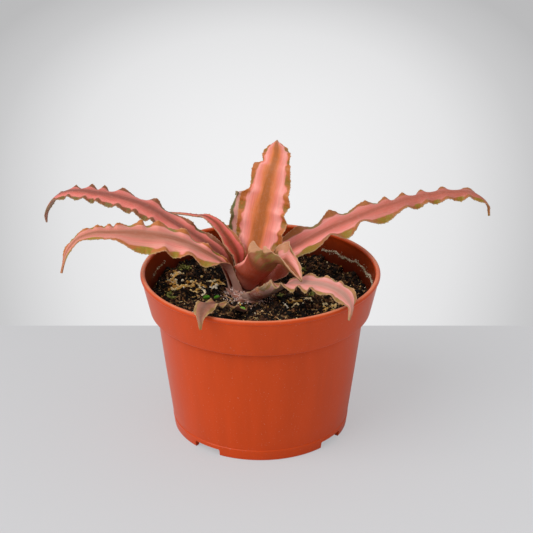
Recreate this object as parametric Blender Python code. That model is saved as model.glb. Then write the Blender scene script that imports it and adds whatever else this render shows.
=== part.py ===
"""A potted earth star (Cryptanthus): a wavy, pink-banded rosette in a plastic nursery pot.

The pot, the soil, the stem and every leaf are separate closed solids. Tables and
driving dimensions are in millimetres, the pot's axis is Z and it stands on z = 0.
"""

import bmesh
import bpy
import math
import numpy as np

MM = 0.001
GAP = 0.3

# The pot: a 4.5 inch azalea pot, thin injection-moulded plastic.
RIM_RADIUS = 57.0
POT_HEIGHT = 80.0
WALL = 1.5
BEAD = 2.4
COLLAR_BOTTOM_RADIUS = 52.7
COLLAR_BOTTOM_Z = 60.8
BODY_TOP_RADIUS = 49.4
BODY_TOP_Z = 59.6
FOOT_RADIUS = 42.2
FLOOR_BOTTOM_Z = 4.6
FOOT_RING = 2.4
FOOT_ROUNDING = 0.6
FLOOR_ROUNDING = 1.2
STEP_ROUNDING = 0.8
BEAD_OVERHANG = 0.8
BEAD_DROP = 3.4
INNER_STEP = 1.6
NOTCH_HEIGHT = 3.4
NOTCH_WIDTH = 14.5
FIRST_NOTCH = 53.0
NOTCHES = 4
HOLE_RADIUS = 5.0
HOLE_CIRCLE = 26.0
POT_SEGMENTS = 64

# The soil: filled to a finger's width under the rim, a little higher at the left.
SOIL_LEVEL = 67.0
SOIL_TILT_X = -0.022
SOIL_TILT_Y = -0.020
SOIL_ROUGHNESS = 0.9
SOIL_LOWEST = 64.0
SOIL_SEGMENTS = 64
SOIL_RINGS = 7
POCKET_Z = 58.0

# The stem, hidden by the leaf bases that clasp it in layers.
STEM_X = -7.0
STEM_Y = -1.0
STEM_PROFILE = [(4.0, 58.4), (3.7, 70.0), (3.5, 73.0), (1.7, 75.5), (1.5, 79.0), (0.8, 80.2)]
STEM_SEGMENTS = 16

# Leaf blades: thick and stiff along the middle, thin at the margins.
MIDDLE_THICKNESS = 1.2
MARGIN_THICKNESS = 0.7
RUFFLE_SPREAD = 2.2
CREST_SHARPNESS = 0.7
ACROSS = (-1.0, -0.6, 0.0, 0.6, 1.0)

# Each table below runs along a leaf, from 0 at its base to 1 at its tip.
# midrib: points of the middle of the leaf. azimuth: the way it points, in degrees.
# half_width: middle to margin. cup: half angle of the channel that the blade makes.
# roll: how far the blade turns its right side up. ruffle: height of the margin's waves.
# left, right: where the margin is lowest and highest in turn, lowest first.
# A pair of tables is for the left and the right half of the blade.
LEAVES = {
    "leaf_right": {
        "stations": 46,
        "midrib": [
            (-1.4, -0.6, 70.6), (2, -0.6, 77), (8, 2.4, 84), (19, 7, 90), (38, 12, 98), (60, 17, 105),
            (81, 23, 108.6), (94, 25.4, 109), (100.7, 26, 108.4), (106.2, 25, 106.2),
            (109.6, 24.4, 102.4), (110.4, 24, 97.4),
        ],
        "azimuth": [(0, 8), (0.15, 14), (1, 14)],
        "half_width": (
            [
                (0, 3.4), (0.06, 3.8), (0.12, 5), (0.18, 8), (0.25, 10.4), (0.4, 10.4), (0.5, 8.8),
                (0.6, 7), (0.7, 6), (0.85, 5.2), (0.93, 3.4), (0.97, 1.6), (1, 0.4),
            ],
            [
                (0, 3), (0.05, 5.6), (0.1, 9.2), (0.13, 8.6), (0.19, 6.6), (0.25, 9.4), (0.4, 9.8),
                (0.5, 8.8), (0.6, 7.4), (0.7, 6), (0.85, 5.2), (0.93, 3.4), (0.97, 1.6), (1, 0.4),
            ],
        ),
        "cup": (
            [(0, 50), (0.12, 60), (0.25, 10), (0.5, 0), (0.62, -14), (0.72, -26), (0.88, -20), (1, 0)],
            [
                (0, 40), (0.06, -10), (0.14, -30), (0.19, 0), (0.25, 10), (0.5, 0), (0.62, -14),
                (0.72, -26), (0.88, -20), (1, 0),
            ],
        ),
        "roll": [(0, 0), (0.05, -18), (0.12, -24), (0.2, -6), (0.5, -6), (0.8, -6), (1, 0)],
        "ruffle": (
            [(0, 0), (0.1, 1), (0.25, 2), (0.4, 3), (0.5, 1.4), (0.8, 1.5), (0.95, 0.8), (1, 0)],
            [
                (0, 0), (0.1, 1), (0.25, 1.6), (0.4, 2.8), (0.55, 3), (0.65, 1.7), (0.85, 1.5),
                (0.95, 0.5), (1, 0),
            ],
        ),
        "left": [
            0.06, 0.25, 0.3, 0.375, 0.425, 0.505, 0.54, 0.578, 0.6, 0.645, 0.68, 0.712, 0.742, 0.79,
            0.826, 0.876, 0.93, 0.96, 1,
        ],
        "right": [
            0.24, 0.335, 0.385, 0.455, 0.535, 0.625, 0.67, 0.705, 0.745, 0.785, 0.84, 0.87, 0.92, 0.96,
            1,
        ],
    },
    "leaf_far_left": {
        "stations": 46,
        "midrib": [
            (-14.3, 1, 69.6), (-16, 3, 77), (-18.5, 6, 82.6), (-23, 9.5, 86.6), (-31, 14, 90.4),
            (-40, 18.6, 94.6), (-49, 23, 98.8), (-58.5, 27.8, 101.8), (-68, 32.5, 103.2),
            (-79, 38, 103.2), (-89, 43, 102.4), (-97.8, 48.2, 99.4), (-103.9, 52.9, 93.6),
            (-107.7, 56, 86), (-108.2, 57.5, 79.9),
        ],
        "azimuth": [(0, 165), (0.2, 153), (1, 153)],
        "half_width": (
            [
                (0, 5), (0.12, 5.5), (0.28, 6), (0.42, 7.4), (0.6, 7), (0.72, 5.6), (0.83, 4),
                (0.9, 2.8), (0.96, 1.6), (1, 0.4),
            ],
            [
                (0, 5), (0.12, 5.5), (0.28, 6), (0.42, 8), (0.6, 7.6), (0.75, 6), (0.83, 4.4),
                (0.9, 2.8), (0.96, 1.6), (1, 0.4),
            ],
        ),
        "cup": (
            [(0, 45), (0.12, 40), (0.2, 0), (0.4, -12), (0.6, -20), (0.8, -20), (1, 0)],
            [(0, 45), (0.12, 45), (0.25, 25), (0.4, -10), (0.6, -20), (0.8, -20), (1, 0)],
        ),
        "roll": [(0, 0), (0.2, 3), (0.5, 8), (0.8, 8), (1, 0)],
        "ruffle": (
            [(0, 0), (0.1, 0.8), (0.25, 2), (0.5, 1.5), (0.75, 1.3), (0.9, 0.5), (1, 0)],
            [(0, 0), (0.1, 0.8), (0.25, 1.5), (0.5, 1.9), (0.75, 1.6), (0.9, 0.7), (1, 0)],
        ),
        "left": [
            0.08, 0.16, 0.24, 0.3, 0.36, 0.4, 0.425, 0.475, 0.5, 0.545, 0.585, 0.635, 0.66, 0.69, 0.735,
            0.765, 0.8, 0.86, 0.92, 1,
        ],
        "right": [
            0.08, 0.19, 0.25, 0.285, 0.4, 0.445, 0.5, 0.585, 0.63, 0.66, 0.675, 0.71, 0.75, 0.78, 0.82,
            0.855, 0.92, 1,
        ],
    },
    "leaf_near_left": {
        "stations": 40,
        "midrib": [
            (-11.4, -4.6, 70), (-13.4, -5.6, 77), (-16.8, -5, 83.6), (-26, -4, 90.6), (-42, -5.4, 98.2),
            (-60.5, -8.6, 102), (-70, -10, 103), (-77, -11.4, 103.2), (-84, -12.7, 101),
            (-88.6, -13.5, 96), (-91, -13.9, 90.4), (-92.6, -14.2, 84.5),
        ],
        "azimuth": [(0, 214), (0.2, 197), (1, 190)],
        "half_width": (
            [
                (0, 4), (0.1, 4), (0.15, 7), (0.2, 12), (0.26, 13), (0.33, 11.6), (0.45, 11.5),
                (0.56, 11), (0.64, 7.5), (0.7, 5.5), (0.78, 4.4), (0.88, 3), (1, 0.4),
            ],
            [
                (0, 4.4), (0.1, 4.6), (0.2, 4.6), (0.28, 5.4), (0.34, 8), (0.42, 9.8), (0.56, 9.2),
                (0.65, 5.8), (0.78, 4.2), (0.88, 3), (1, 0.4),
            ],
        ),
        "cup": (
            [(0, 55), (0.1, 60), (0.2, 20), (0.4, -10), (0.64, -15), (0.75, 20), (1, 20)],
            [(0, 50), (0.12, 55), (0.3, 20), (0.56, 0), (0.75, 20), (1, 20)],
        ),
        "roll": [(0, 0), (0.2, 8), (0.45, 13), (0.6, 13), (0.8, 8), (1, 5)],
        "ruffle": (
            [
                (0, 0), (0.1, 0.6), (0.22, 2.8), (0.33, 2), (0.45, 1.8), (0.56, 2.2), (0.68, 1.4),
                (0.8, 0.5), (1, 0),
            ],
            [(0, 0), (0.1, 0.5), (0.25, 1.6), (0.5, 1.9), (0.62, 1.5), (0.7, 0.9), (0.9, 0.7), (1, 0)],
        ),
        "left": [0.06, 0.13, 0.23, 0.33, 0.39, 0.445, 0.52, 0.66, 0.76, 0.82, 0.9, 1],
        "right": [
            0.08, 0.15, 0.2, 0.25, 0.3, 0.355, 0.4, 0.467, 0.51, 0.538, 0.587, 0.648, 0.665, 0.68,
            0.703, 0.733, 0.753, 0.78, 0.84, 0.9, 1,
        ],
    },
    "leaf_inner_left": {
        "stations": 26,
        "midrib": [
            (-11.5, -0.4, 74), (-11, 0.3, 80.6), (-11.4, 1.3, 86.9), (-14.4, 3.6, 92),
            (-17.8, 7.7, 95.4), (-21.2, 13.1, 97.8), (-26, 18.6, 98.9), (-30.8, 24.2, 97.3),
            (-35.2, 29.2, 95.8), (-40.2, 33.4, 94.6), (-45.5, 37, 93.5),
        ],
        "azimuth": [(0, 172), (0.2, 152), (0.6, 130), (1, 140)],
        "half_width": (
            [
                (0, 3.4), (0.15, 5.2), (0.28, 8), (0.34, 5.4), (0.5, 3.8), (0.6, 2.6), (0.7, 1.5),
                (0.85, 0.9), (1, 0.3),
            ],
            [
                (0, 3.2), (0.15, 5), (0.3, 5), (0.4, 4.2), (0.5, 3), (0.6, 1.8), (0.7, 1.3),
                (0.85, 0.9), (1, 0.3),
            ],
        ),
        "cup": (
            [(0, 40), (0.2, 60), (0.3, 53), (0.4, 80), (0.6, 40), (1, 40)],
            [(0, 40), (0.2, 50), (0.3, 12), (0.6, 10), (1, 20)],
        ),
        "roll": [(0, 0), (0.3, 10), (1, 10)],
        "ruffle": [(0, 0), (0.1, 0.5), (0.3, 0.8), (0.6, 0.4), (1, 0)],
        "left": [0.1, 0.3, 0.45, 0.6, 0.75, 0.9],
        "right": [0.1, 0.3, 0.45, 0.6, 0.75, 0.9],
    },
    "leaf_upright": {
        "stations": 38,
        "midrib": [
            (-5.8, 3.5, 71.5), (-5.2, 5, 79), (-4.2, 6, 84), (-2, 7.8, 92.4), (0.2, 10, 104),
            (2.7, 12.5, 115.5), (5.4, 15.6, 125.6), (7, 19.2, 129.4), (7.6, 24, 131.2),
            (7.9, 31, 131.6), (8, 38.5, 130.4),
        ],
        "azimuth": [(0, 75), (0.15, 72), (1, 72)],
        "half_width": (
            [
                (0, 3.4), (0.09, 4.8), (0.16, 6.6), (0.25, 9.6), (0.36, 10.6), (0.47, 11.4),
                (0.51, 11.2), (0.55, 7.8), (0.65, 9), (0.69, 8.8), (0.71, 5.4), (0.77, 6.3),
                (0.84, 6.1), (0.865, 4.4), (0.89, 3.4), (0.94, 1.7), (1, 0.4),
            ],
            [
                (0, 3.4), (0.09, 4.8), (0.16, 7), (0.25, 13), (0.36, 13.6), (0.47, 12), (0.5, 13.2),
                (0.58, 11.6), (0.65, 10), (0.71, 8.8), (0.74, 7.2), (0.8, 6.6), (0.82, 5.6),
                (0.85, 5.2), (0.88, 3), (0.94, 1.2), (1, 0.4),
            ],
        ),
        "cup": [
            (0, 58), (0.09, 52), (0.23, 22), (0.57, 10), (0.72, -6), (0.8, -12), (0.9, -12), (1, -5),
        ],
        "roll": [(0, 0), (1, 0)],
        "ruffle": [(0, 0), (0.12, 0.8), (0.28, 1.3), (0.57, 1.3), (0.74, 0.8), (0.84, 0.4), (1, 0)],
        "left": [0.1, 0.2, 0.28, 0.36, 0.43, 0.53, 0.58, 0.7, 0.735, 0.785, 0.83, 0.88, 0.94, 1],
        "right": [0.1, 0.19, 0.26, 0.33, 0.39, 0.44, 0.475, 0.55, 0.63, 0.71, 0.74, 0.78, 0.82, 0.9, 1],
    },
    "leaf_back": {
        "stations": 28,
        "midrib": [
            (-8, 4.8, 70.5), (-8, 8, 78), (-7.5, 12.5, 86), (-7, 17.5, 93.5), (-7, 24, 99.5),
            (-7.5, 33, 103), (-8.5, 43, 102), (-9.5, 52, 97), (-10, 59, 89),
        ],
        "azimuth": [(0, 100), (0.3, 92), (1, 94)],
        "half_width": [
            (0, 4), (0.15, 5.4), (0.3, 8), (0.42, 8), (0.52, 6.2), (0.62, 4), (0.8, 3), (1, 0.4),
        ],
        "cup": [(0, 42), (0.2, 45), (0.4, 20), (1, 10)],
        "roll": [(0, 0), (1, 0)],
        "ruffle": [(0, 0), (0.1, 0.8), (0.3, 1.8), (0.6, 2), (0.85, 0.8), (1, 0)],
        "left": [0.05, 0.2, 0.32, 0.42, 0.52, 0.62, 0.72, 0.84, 1],
        "right": [0.05, 0.2, 0.3, 0.4, 0.5, 0.6, 0.7, 0.82, 1],
    },
    "leaf_front": {
        "stations": 28,
        "midrib": [
            (-5, -5.2, 72), (-4.2, -8, 75.4), (-1.6, -11.4, 80), (2, -14.6, 85.6), (5.4, -17.8, 90.4),
            (9.6, -21.8, 93), (13.4, -25.6, 92.2), (16.4, -28.8, 90), (18.8, -31.6, 88.4),
        ],
        "azimuth": [(0, -85), (0.15, -75), (0.35, -52), (1, -46)],
        "half_width": (
            [
                (0, 3.2), (0.12, 4), (0.22, 6.5), (0.33, 13), (0.45, 15), (0.6, 15), (0.66, 12),
                (0.72, 9), (0.8, 6), (0.9, 4), (1, 0.4),
            ],
            [
                (0, 5), (0.05, 7), (0.12, 9.8), (0.2, 12.2), (0.28, 11.5), (0.35, 12.8), (0.45, 19),
                (0.49, 13.4), (0.53, 10.4), (0.59, 10.4), (0.65, 6.6), (0.73, 4), (0.85, 3), (1, 0.4),
            ],
        ),
        "cup": (
            [(0, 50), (0.2, 50), (0.35, 112), (0.5, 110), (0.6, 97), (0.7, 105), (0.85, 110), (1, 80)],
            [
                (0, 50), (0.2, 66), (0.3, 80), (0.4, 135), (0.45, 148), (0.56, 128), (0.7, 105),
                (0.85, 80), (1, 60),
            ],
        ),
        "roll": [(0, 0), (0.2, 12), (0.35, 22), (0.6, 14), (0.8, 8), (1, 0)],
        "ruffle": (
            [(0, 0), (0.1, 0.5), (0.3, 1), (0.55, 1), (0.75, 0.6), (1, 0)],
            [(0, 0), (0.1, 0.5), (0.25, 1), (0.5, 1), (0.75, 0.6), (1, 0)],
        ),
        "left": [0.05, 0.2, 0.34, 0.46, 0.6, 0.72, 0.85, 1],
        "right": [0.06, 0.14, 0.22, 0.3, 0.45, 0.52, 0.59, 0.68, 0.8, 1],
    },
    "leaf_low_right": {
        "stations": 36,
        "midrib": [
            (-5.8, -5.6, 68), (-4.8, -9.2, 68.8), (-1, -14.4, 71.2), (5.4, -19.8, 76.6),
            (14.4, -25, 84), (24, -31, 86.8), (32.5, -37, 87.4), (38.3, -41, 85.4), (40.8, -44.5, 81.4),
            (40, -47.5, 76.3),
        ],
        "azimuth": [(0, -75), (0.3, -42), (0.8, -50), (1, -60)],
        "half_width": (
            [
                (0, 3.2), (0.08, 6.6), (0.18, 7.5), (0.3, 8), (0.5, 7.5), (0.65, 7), (0.76, 5.8),
                (0.84, 5.4), (0.88, 4), (0.915, 1.5), (1, 0.4),
            ],
            [
                (0, 3.2), (0.1, 6.5), (0.3, 8), (0.5, 7.5), (0.65, 7), (0.76, 5.8), (0.84, 5.4),
                (0.88, 4), (0.915, 1.5), (1, 0.4),
            ],
        ),
        "cup": (
            [(0, 50), (0.1, 75), (0.25, 65), (0.35, 25), (0.7, 5), (1, 10)],
            [(0, 50), (0.2, 62), (0.35, 75), (0.46, 10), (0.8, 5), (1, 10)],
        ),
        "roll": [(0, 0), (0.15, 10), (0.35, 5), (0.5, -6), (1, -5)],
        "ruffle": (
            [(0, 0), (0.1, 0.4), (0.3, 1), (0.6, 0.9), (0.8, 0.8), (0.93, 0.3), (1, 0)],
            [
                (0, 0), (0.1, 0.6), (0.24, 1.4), (0.36, 2.2), (0.5, 1.8), (0.65, 1.5), (0.8, 0.8),
                (0.93, 0.3), (1, 0),
            ],
        ),
        "left": [
            0.05, 0.12, 0.2, 0.26, 0.32, 0.38, 0.46, 0.54, 0.59, 0.65, 0.72, 0.76, 0.79, 0.85, 0.91, 1,
        ],
        "right": [
            0.06, 0.12, 0.18, 0.24, 0.3, 0.36, 0.405, 0.445, 0.51, 0.555, 0.61, 0.645, 0.71, 0.78, 0.84,
            0.92, 1,
        ],
    },
    "leaf_low_left": {
        "stations": 26,
        "midrib": [
            (-8, -22.5, 68.8), (-11.4, -25, 71.4), (-16, -30.5, 75.2), (-20, -37, 79.2),
            (-23.8, -45, 82.8), (-25.6, -52, 83.6), (-26.4, -57, 81), (-26.4, -59, 77.4),
        ],
        "azimuth": [(0, -125), (0.6, -115), (1, -100)],
        "half_width": [(0, 2.5), (0.3, 4), (0.6, 4.5), (0.78, 4.2), (0.9, 1.5), (1, 0.4)],
        "cup": [(0, 40), (0.5, 15), (0.8, -10), (1, 10)],
        "roll": [(0, 0), (1, 0)],
        "ruffle": [(0, 0), (0.2, 1), (0.6, 1.2), (0.8, 0.6), (1, 0)],
        "left": [0.05, 0.15, 0.28, 0.38, 0.5, 0.62, 0.75, 0.9, 1],
        "right": [0.05, 0.2, 0.3, 0.42, 0.52, 0.65, 0.78, 0.9, 1],
    },
    "leaf_heart_right": {
        "stations": 12,
        "midrib": [(-4.5, -0.2, 76), (-3.6, 0, 80), (-2, 0.4, 85), (0.6, 1, 89.5)],
        "azimuth": [(0, 15), (1, 15)],
        "half_width": [(0, 2.2), (0.4, 3.4), (0.75, 2.2), (1, 0.4)],
        "cup": [(0, 50), (0.5, 45), (1, 30)],
        "roll": [(0, 0), (1, 0)],
        "ruffle": [(0, 0), (0.5, 0.3), (1, 0)],
        "left": [0.1, 0.35, 0.6, 0.85],
        "right": [0.1, 0.35, 0.6, 0.85],
    },
    "leaf_heart_left": {
        "stations": 12,
        "midrib": [(-7.4, -4.8, 79), (-7.2, -5.2, 81), (-7.2, -5.6, 84), (-7.4, -6.2, 86.8)],
        "azimuth": [(0, 198), (1, 210)],
        "half_width": [(0, 1.8), (0.4, 2.4), (0.75, 1.8), (1, 0.4)],
        "cup": [(0, 50), (0.5, 45), (1, 30)],
        "roll": [(0, 0), (1, 0)],
        "ruffle": [(0, 0), (0.5, 0.3), (1, 0)],
        "left": [0.1, 0.35, 0.6, 0.85],
        "right": [0.1, 0.35, 0.6, 0.85],
    },
}


def clear_scene():
    for thing in list(bpy.data.objects):
        bpy.data.objects.remove(thing, do_unlink=True)


def material(name, colour, roughness):
    """A Principled material. The colour is linear red, green and blue."""
    made = bpy.data.materials.new(name)
    made.use_nodes = True
    shader = made.node_tree.nodes["Principled BSDF"]
    shader.inputs["Base Color"].default_value = (*colour, 1)
    shader.inputs["Roughness"].default_value = roughness
    shader.inputs["Metallic"].default_value = 0
    return made


def finish_object(name, mesh_data, surface):
    """An object from a bmesh: faces out, smooth shaded, one material."""
    bmesh.ops.recalc_face_normals(mesh_data, faces=mesh_data.faces)
    mesh = bpy.data.meshes.new(name)
    mesh_data.to_mesh(mesh)
    mesh_data.free()
    mesh.polygons.foreach_set("use_smooth", [True] * len(mesh.polygons))
    mesh.materials.append(surface)
    thing = bpy.data.objects.new(name, mesh)
    bpy.context.scene.collection.objects.link(thing)
    return thing


def add_ring(mesh_data, centre, radius, height, segments):
    """A level ring of vertices. height is a number or a function of x and y."""
    ring = []
    for step in range(segments):
        turn = 2 * math.pi * step / segments
        x = centre[0] + radius * math.cos(turn)
        y = centre[1] + radius * math.sin(turn)
        z = height(x, y) if callable(height) else height
        ring.append(mesh_data.verts.new((x * MM, y * MM, z * MM)))
    return ring


def bridge(mesh_data, first, second):
    count = len(first)
    for step in range(count):
        after = (step + 1) % count
        mesh_data.faces.new((first[step], first[after], second[after], second[step]))


def cap(mesh_data, ring, height):
    """A fan of triangles that closes a ring at its centre."""
    middle = sum((vert.co for vert in ring), ring[0].co * 0) / len(ring)
    point = mesh_data.verts.new((middle.x, middle.y, height * MM))
    for step, vert in enumerate(ring):
        mesh_data.faces.new((vert, ring[(step + 1) % len(ring)], point))


def turned_body(name, profile, segments, surface, centre=(0, 0)):
    """A closed solid turned about a vertical axis, closed by a fan at both ends."""
    mesh_data = bmesh.new()
    rings = [add_ring(mesh_data, centre, radius, z, segments) for radius, z in profile]
    for first, second in zip(rings, rings[1:]):
        bridge(mesh_data, first, second)
    cap(mesh_data, rings[0], profile[0][1])
    cap(mesh_data, rings[-1], profile[-1][1])
    return finish_object(name, mesh_data, surface)


def cutter(name, location, size, turn=0.0, round_sides=0):
    """A hidden block, or a cylinder if round_sides is given, for a Boolean."""
    mesh_data = bmesh.new()
    if round_sides:
        bmesh.ops.create_cone(
            mesh_data,
            cap_ends=True,
            segments=round_sides,
            radius1=size[0] / 2 * MM,
            radius2=size[0] / 2 * MM,
            depth=size[2] * MM,
        )
    else:
        bmesh.ops.create_cube(mesh_data, size=1)
        bmesh.ops.scale(mesh_data, vec=[side * MM for side in size], verts=mesh_data.verts)
    mesh = bpy.data.meshes.new(name)
    mesh_data.to_mesh(mesh)
    mesh_data.free()
    thing = bpy.data.objects.new(name, mesh)
    thing.location = [value * MM for value in location]
    thing.rotation_euler = (0, 0, turn)
    thing.hide_render = True
    thing.display_type = "WIRE"
    bpy.context.scene.collection.objects.link(thing)
    return thing


def cut(thing, tool):
    modifier = thing.modifiers.new(tool.name, "BOOLEAN")
    modifier.operation = "DIFFERENCE"
    modifier.solver = "EXACT"
    modifier.object = tool


def bead_arc(centre, radius, start, end, steps):
    """Points of an arc in the profile plane, from one angle in degrees to another."""
    points = []
    for step in range(steps + 1):
        turn = math.radians(start + (end - start) * step / steps)
        points.append((centre[0] + radius * math.cos(turn), centre[1] + radius * math.sin(turn)))
    return points


def collar_inside(z):
    """Radius of the collar's inner wall at a height."""
    bottom_z = COLLAR_BOTTOM_Z + INNER_STEP
    bottom_radius = COLLAR_BOTTOM_RADIUS - WALL
    top_z = POT_HEIGHT - BEAD_DROP
    top_radius = RIM_RADIUS - BEAD
    return bottom_radius + (top_radius - bottom_radius) * (z - bottom_z) / (top_z - bottom_z)


def inner_floor():
    """Radius and height of the edge of the pot's floor, inside."""
    z = FLOOR_BOTTOM_Z + WALL
    body_slope = (BODY_TOP_RADIUS - FOOT_RADIUS) / BODY_TOP_Z
    return FOOT_RADIUS - WALL + body_slope * z, z


def pot_profile():
    """The pot's section, from the middle of its underside round the rim to the inside."""
    half_bead = BEAD / 2
    foot_inside = FOOT_RADIUS - FOOT_RING
    floor_radius, floor_z = inner_floor()
    outside = [
        (foot_inside - FLOOR_ROUNDING, FLOOR_BOTTOM_Z),
        (foot_inside, FLOOR_BOTTOM_Z - FLOOR_ROUNDING),
        (foot_inside, FOOT_ROUNDING),
        (foot_inside + FOOT_ROUNDING, 0),
        (FOOT_RADIUS - FOOT_ROUNDING, 0),
        (FOOT_RADIUS, FOOT_ROUNDING),
        (BODY_TOP_RADIUS - STEP_ROUNDING / 2, BODY_TOP_Z - STEP_ROUNDING),
        (BODY_TOP_RADIUS + STEP_ROUNDING / 2, BODY_TOP_Z),
        (COLLAR_BOTTOM_RADIUS - STEP_ROUNDING, COLLAR_BOTTOM_Z),
        (COLLAR_BOTTOM_RADIUS, COLLAR_BOTTOM_Z + STEP_ROUNDING),
        (RIM_RADIUS - BEAD_OVERHANG, POT_HEIGHT - BEAD_DROP),
    ]
    lip = bead_arc((RIM_RADIUS - half_bead, POT_HEIGHT - half_bead), half_bead, -60, 180, 6)
    inside = [
        (RIM_RADIUS - BEAD, POT_HEIGHT - BEAD_DROP),
        (COLLAR_BOTTOM_RADIUS - WALL, COLLAR_BOTTOM_Z + INNER_STEP),
        (BODY_TOP_RADIUS - WALL, BODY_TOP_Z - INNER_STEP),
        (floor_radius, floor_z + WALL),
        (floor_radius - WALL, floor_z),
    ]
    return outside + lip + inside


def make_pot():
    plastic = material("pot_terracotta_plastic", (0.52, 0.10, 0.028), 0.42)
    pot = turned_body("pot", pot_profile(), POT_SEGMENTS, plastic)
    middle_z = FLOOR_BOTTOM_Z + WALL / 2
    cut(pot, cutter("hole_centre", (0, 0, middle_z), (2 * HOLE_RADIUS, 0, 4 * WALL), 0, 20))
    for index in range(NOTCHES):
        turn = math.radians(FIRST_NOTCH + index * 360 / NOTCHES)
        across = (math.cos(turn), math.sin(turn))
        notch_place = (FOOT_RADIUS * across[0], FOOT_RADIUS * across[1], NOTCH_HEIGHT / 2 - 1)
        notch_size = (4 * FOOT_RING, NOTCH_WIDTH, NOTCH_HEIGHT + 2)
        cut(pot, cutter(f"notch_{index + 1}", notch_place, notch_size, turn))
        hole_place = (HOLE_CIRCLE * across[0], HOLE_CIRCLE * across[1], middle_z)
        cut(pot, cutter(f"hole_{index + 1}", hole_place, (2 * HOLE_RADIUS, 0, 4 * WALL), turn, 20))
    return pot


def soil_surface(x, y):
    """Height of the soil: a slight tilt, with lumps."""
    lumps = (
        math.sin(0.21 * x + 1.3) * math.cos(0.17 * y - 0.6)
        + 0.6 * math.sin(0.47 * x - 0.31 * y)
        + 0.4 * math.cos(0.36 * y + 0.53 * x + 2.0)
    )
    return SOIL_LEVEL + SOIL_TILT_X * x + SOIL_TILT_Y * y + SOIL_ROUGHNESS * lumps


def make_soil():
    """Soil from the pot's floor to its lumpy top, with a pocket for the stem."""
    mix = material("soil_potting_mix", (0.022, 0.014, 0.009), 0.95)
    floor_radius, floor_z = inner_floor()
    ledge_radius = BODY_TOP_RADIUS - WALL - GAP
    collar_radius = COLLAR_BOTTOM_RADIUS - WALL - GAP
    edge_radius = collar_inside(SOIL_LOWEST) - GAP
    pocket_radius = STEM_PROFILE[0][0] + GAP
    mesh_data = bmesh.new()
    axis, stem = (0, 0), (STEM_X, STEM_Y)
    rings = [
        add_ring(mesh_data, axis, floor_radius - WALL - GAP, floor_z + GAP, SOIL_SEGMENTS),
        add_ring(mesh_data, axis, floor_radius - GAP, floor_z + WALL + GAP, SOIL_SEGMENTS),
        add_ring(mesh_data, axis, ledge_radius, BODY_TOP_Z - INNER_STEP, SOIL_SEGMENTS),
        add_ring(mesh_data, axis, collar_radius, COLLAR_BOTTOM_Z + INNER_STEP + GAP, SOIL_SEGMENTS),
    ]
    for step in range(SOIL_RINGS + 1):
        inward = step / SOIL_RINGS
        centre = (stem[0] * inward, stem[1] * inward)
        radius = edge_radius + (pocket_radius - edge_radius) * inward
        rings.append(add_ring(mesh_data, centre, radius, soil_surface, SOIL_SEGMENTS))
    rings.append(add_ring(mesh_data, stem, pocket_radius, POCKET_Z, SOIL_SEGMENTS))
    for first, second in zip(rings, rings[1:]):
        bridge(mesh_data, first, second)
    cap(mesh_data, rings[0], floor_z + GAP)
    cap(mesh_data, rings[-1], POCKET_Z)
    return finish_object("soil", mesh_data, mix)


def make_stem():
    bark = material("stem_brown", (0.12, 0.05, 0.03), 0.8)
    return turned_body("stem", STEM_PROFILE, STEM_SEGMENTS, bark, (STEM_X, STEM_Y))


def even_stations(points, count):
    """Evenly spaced points on a smooth curve through the given ones (Catmull-Rom)."""
    given = np.array(points, float)
    given = np.vstack([2 * given[0] - given[1], given, 2 * given[-1] - given[-2]])
    dense = []
    for index in range(1, len(given) - 2):
        p0, p1, p2, p3 = given[index - 1 : index + 3]
        t1 = np.linalg.norm(p1 - p0) ** 0.5
        t2 = t1 + np.linalg.norm(p2 - p1) ** 0.5
        t3 = t2 + np.linalg.norm(p3 - p2) ** 0.5
        t = np.linspace(t1, t2, 40, endpoint=False)[:, None]
        a1 = (t1 - t) / t1 * p0 + t / t1 * p1
        a2 = (t2 - t) / (t2 - t1) * p1 + (t - t1) / (t2 - t1) * p2
        a3 = (t3 - t) / (t3 - t2) * p2 + (t - t2) / (t3 - t2) * p3
        b1 = (t2 - t) / t2 * a1 + t / t2 * a2
        b2 = (t3 - t) / (t3 - t1) * a2 + (t - t1) / (t3 - t1) * a3
        dense.append((t2 - t) / (t2 - t1) * b1 + (t - t1) / (t2 - t1) * b2)
    dense.append(given[-2:-1])
    curve = np.vstack(dense)
    lengths = np.r_[0, np.cumsum(np.linalg.norm(np.diff(curve, axis=0), axis=1))]
    wanted = np.linspace(0, lengths[-1], count)
    return np.stack([np.interp(wanted, lengths, curve[:, axis]) for axis in range(3)], -1)


def eased(table, t):
    """A smooth curve through a table's rows that never overshoots them."""
    x, y = np.array(table, float).T
    widths = np.diff(x)
    slopes = np.diff(y) / widths
    before, after = np.r_[slopes[0], slopes], np.r_[slopes, slopes[-1]]
    product = before * after
    total = np.where(before + after == 0, 1, before + after)
    tangents = np.where(product > 0, 2 * product / total, 0)
    index = np.clip(np.searchsorted(x, t, side="right") - 1, 0, len(widths) - 1)
    s, width = (t - x[index]) / widths[index], widths[index]
    rise = y[index] * (1 + 2 * s) * (1 - s) ** 2 + y[index + 1] * s * s * (3 - 2 * s)
    return rise + width * s * (1 - s) * (tangents[index] * (1 - s) - tangents[index + 1] * s)


def margin_wave(knots, t):
    """From -1 to 1 and back between the knots, with narrow crests and round troughs."""
    phase = np.interp(t, knots, np.arange(len(knots)))
    return 1 - 2 * ((1 + np.cos(math.pi * phase)) / 2) ** CREST_SHARPNESS


def halves(table):
    """The left and the right table of a leaf: a pair, or one table for both."""
    return table if isinstance(table, tuple) else (table, table)


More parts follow.
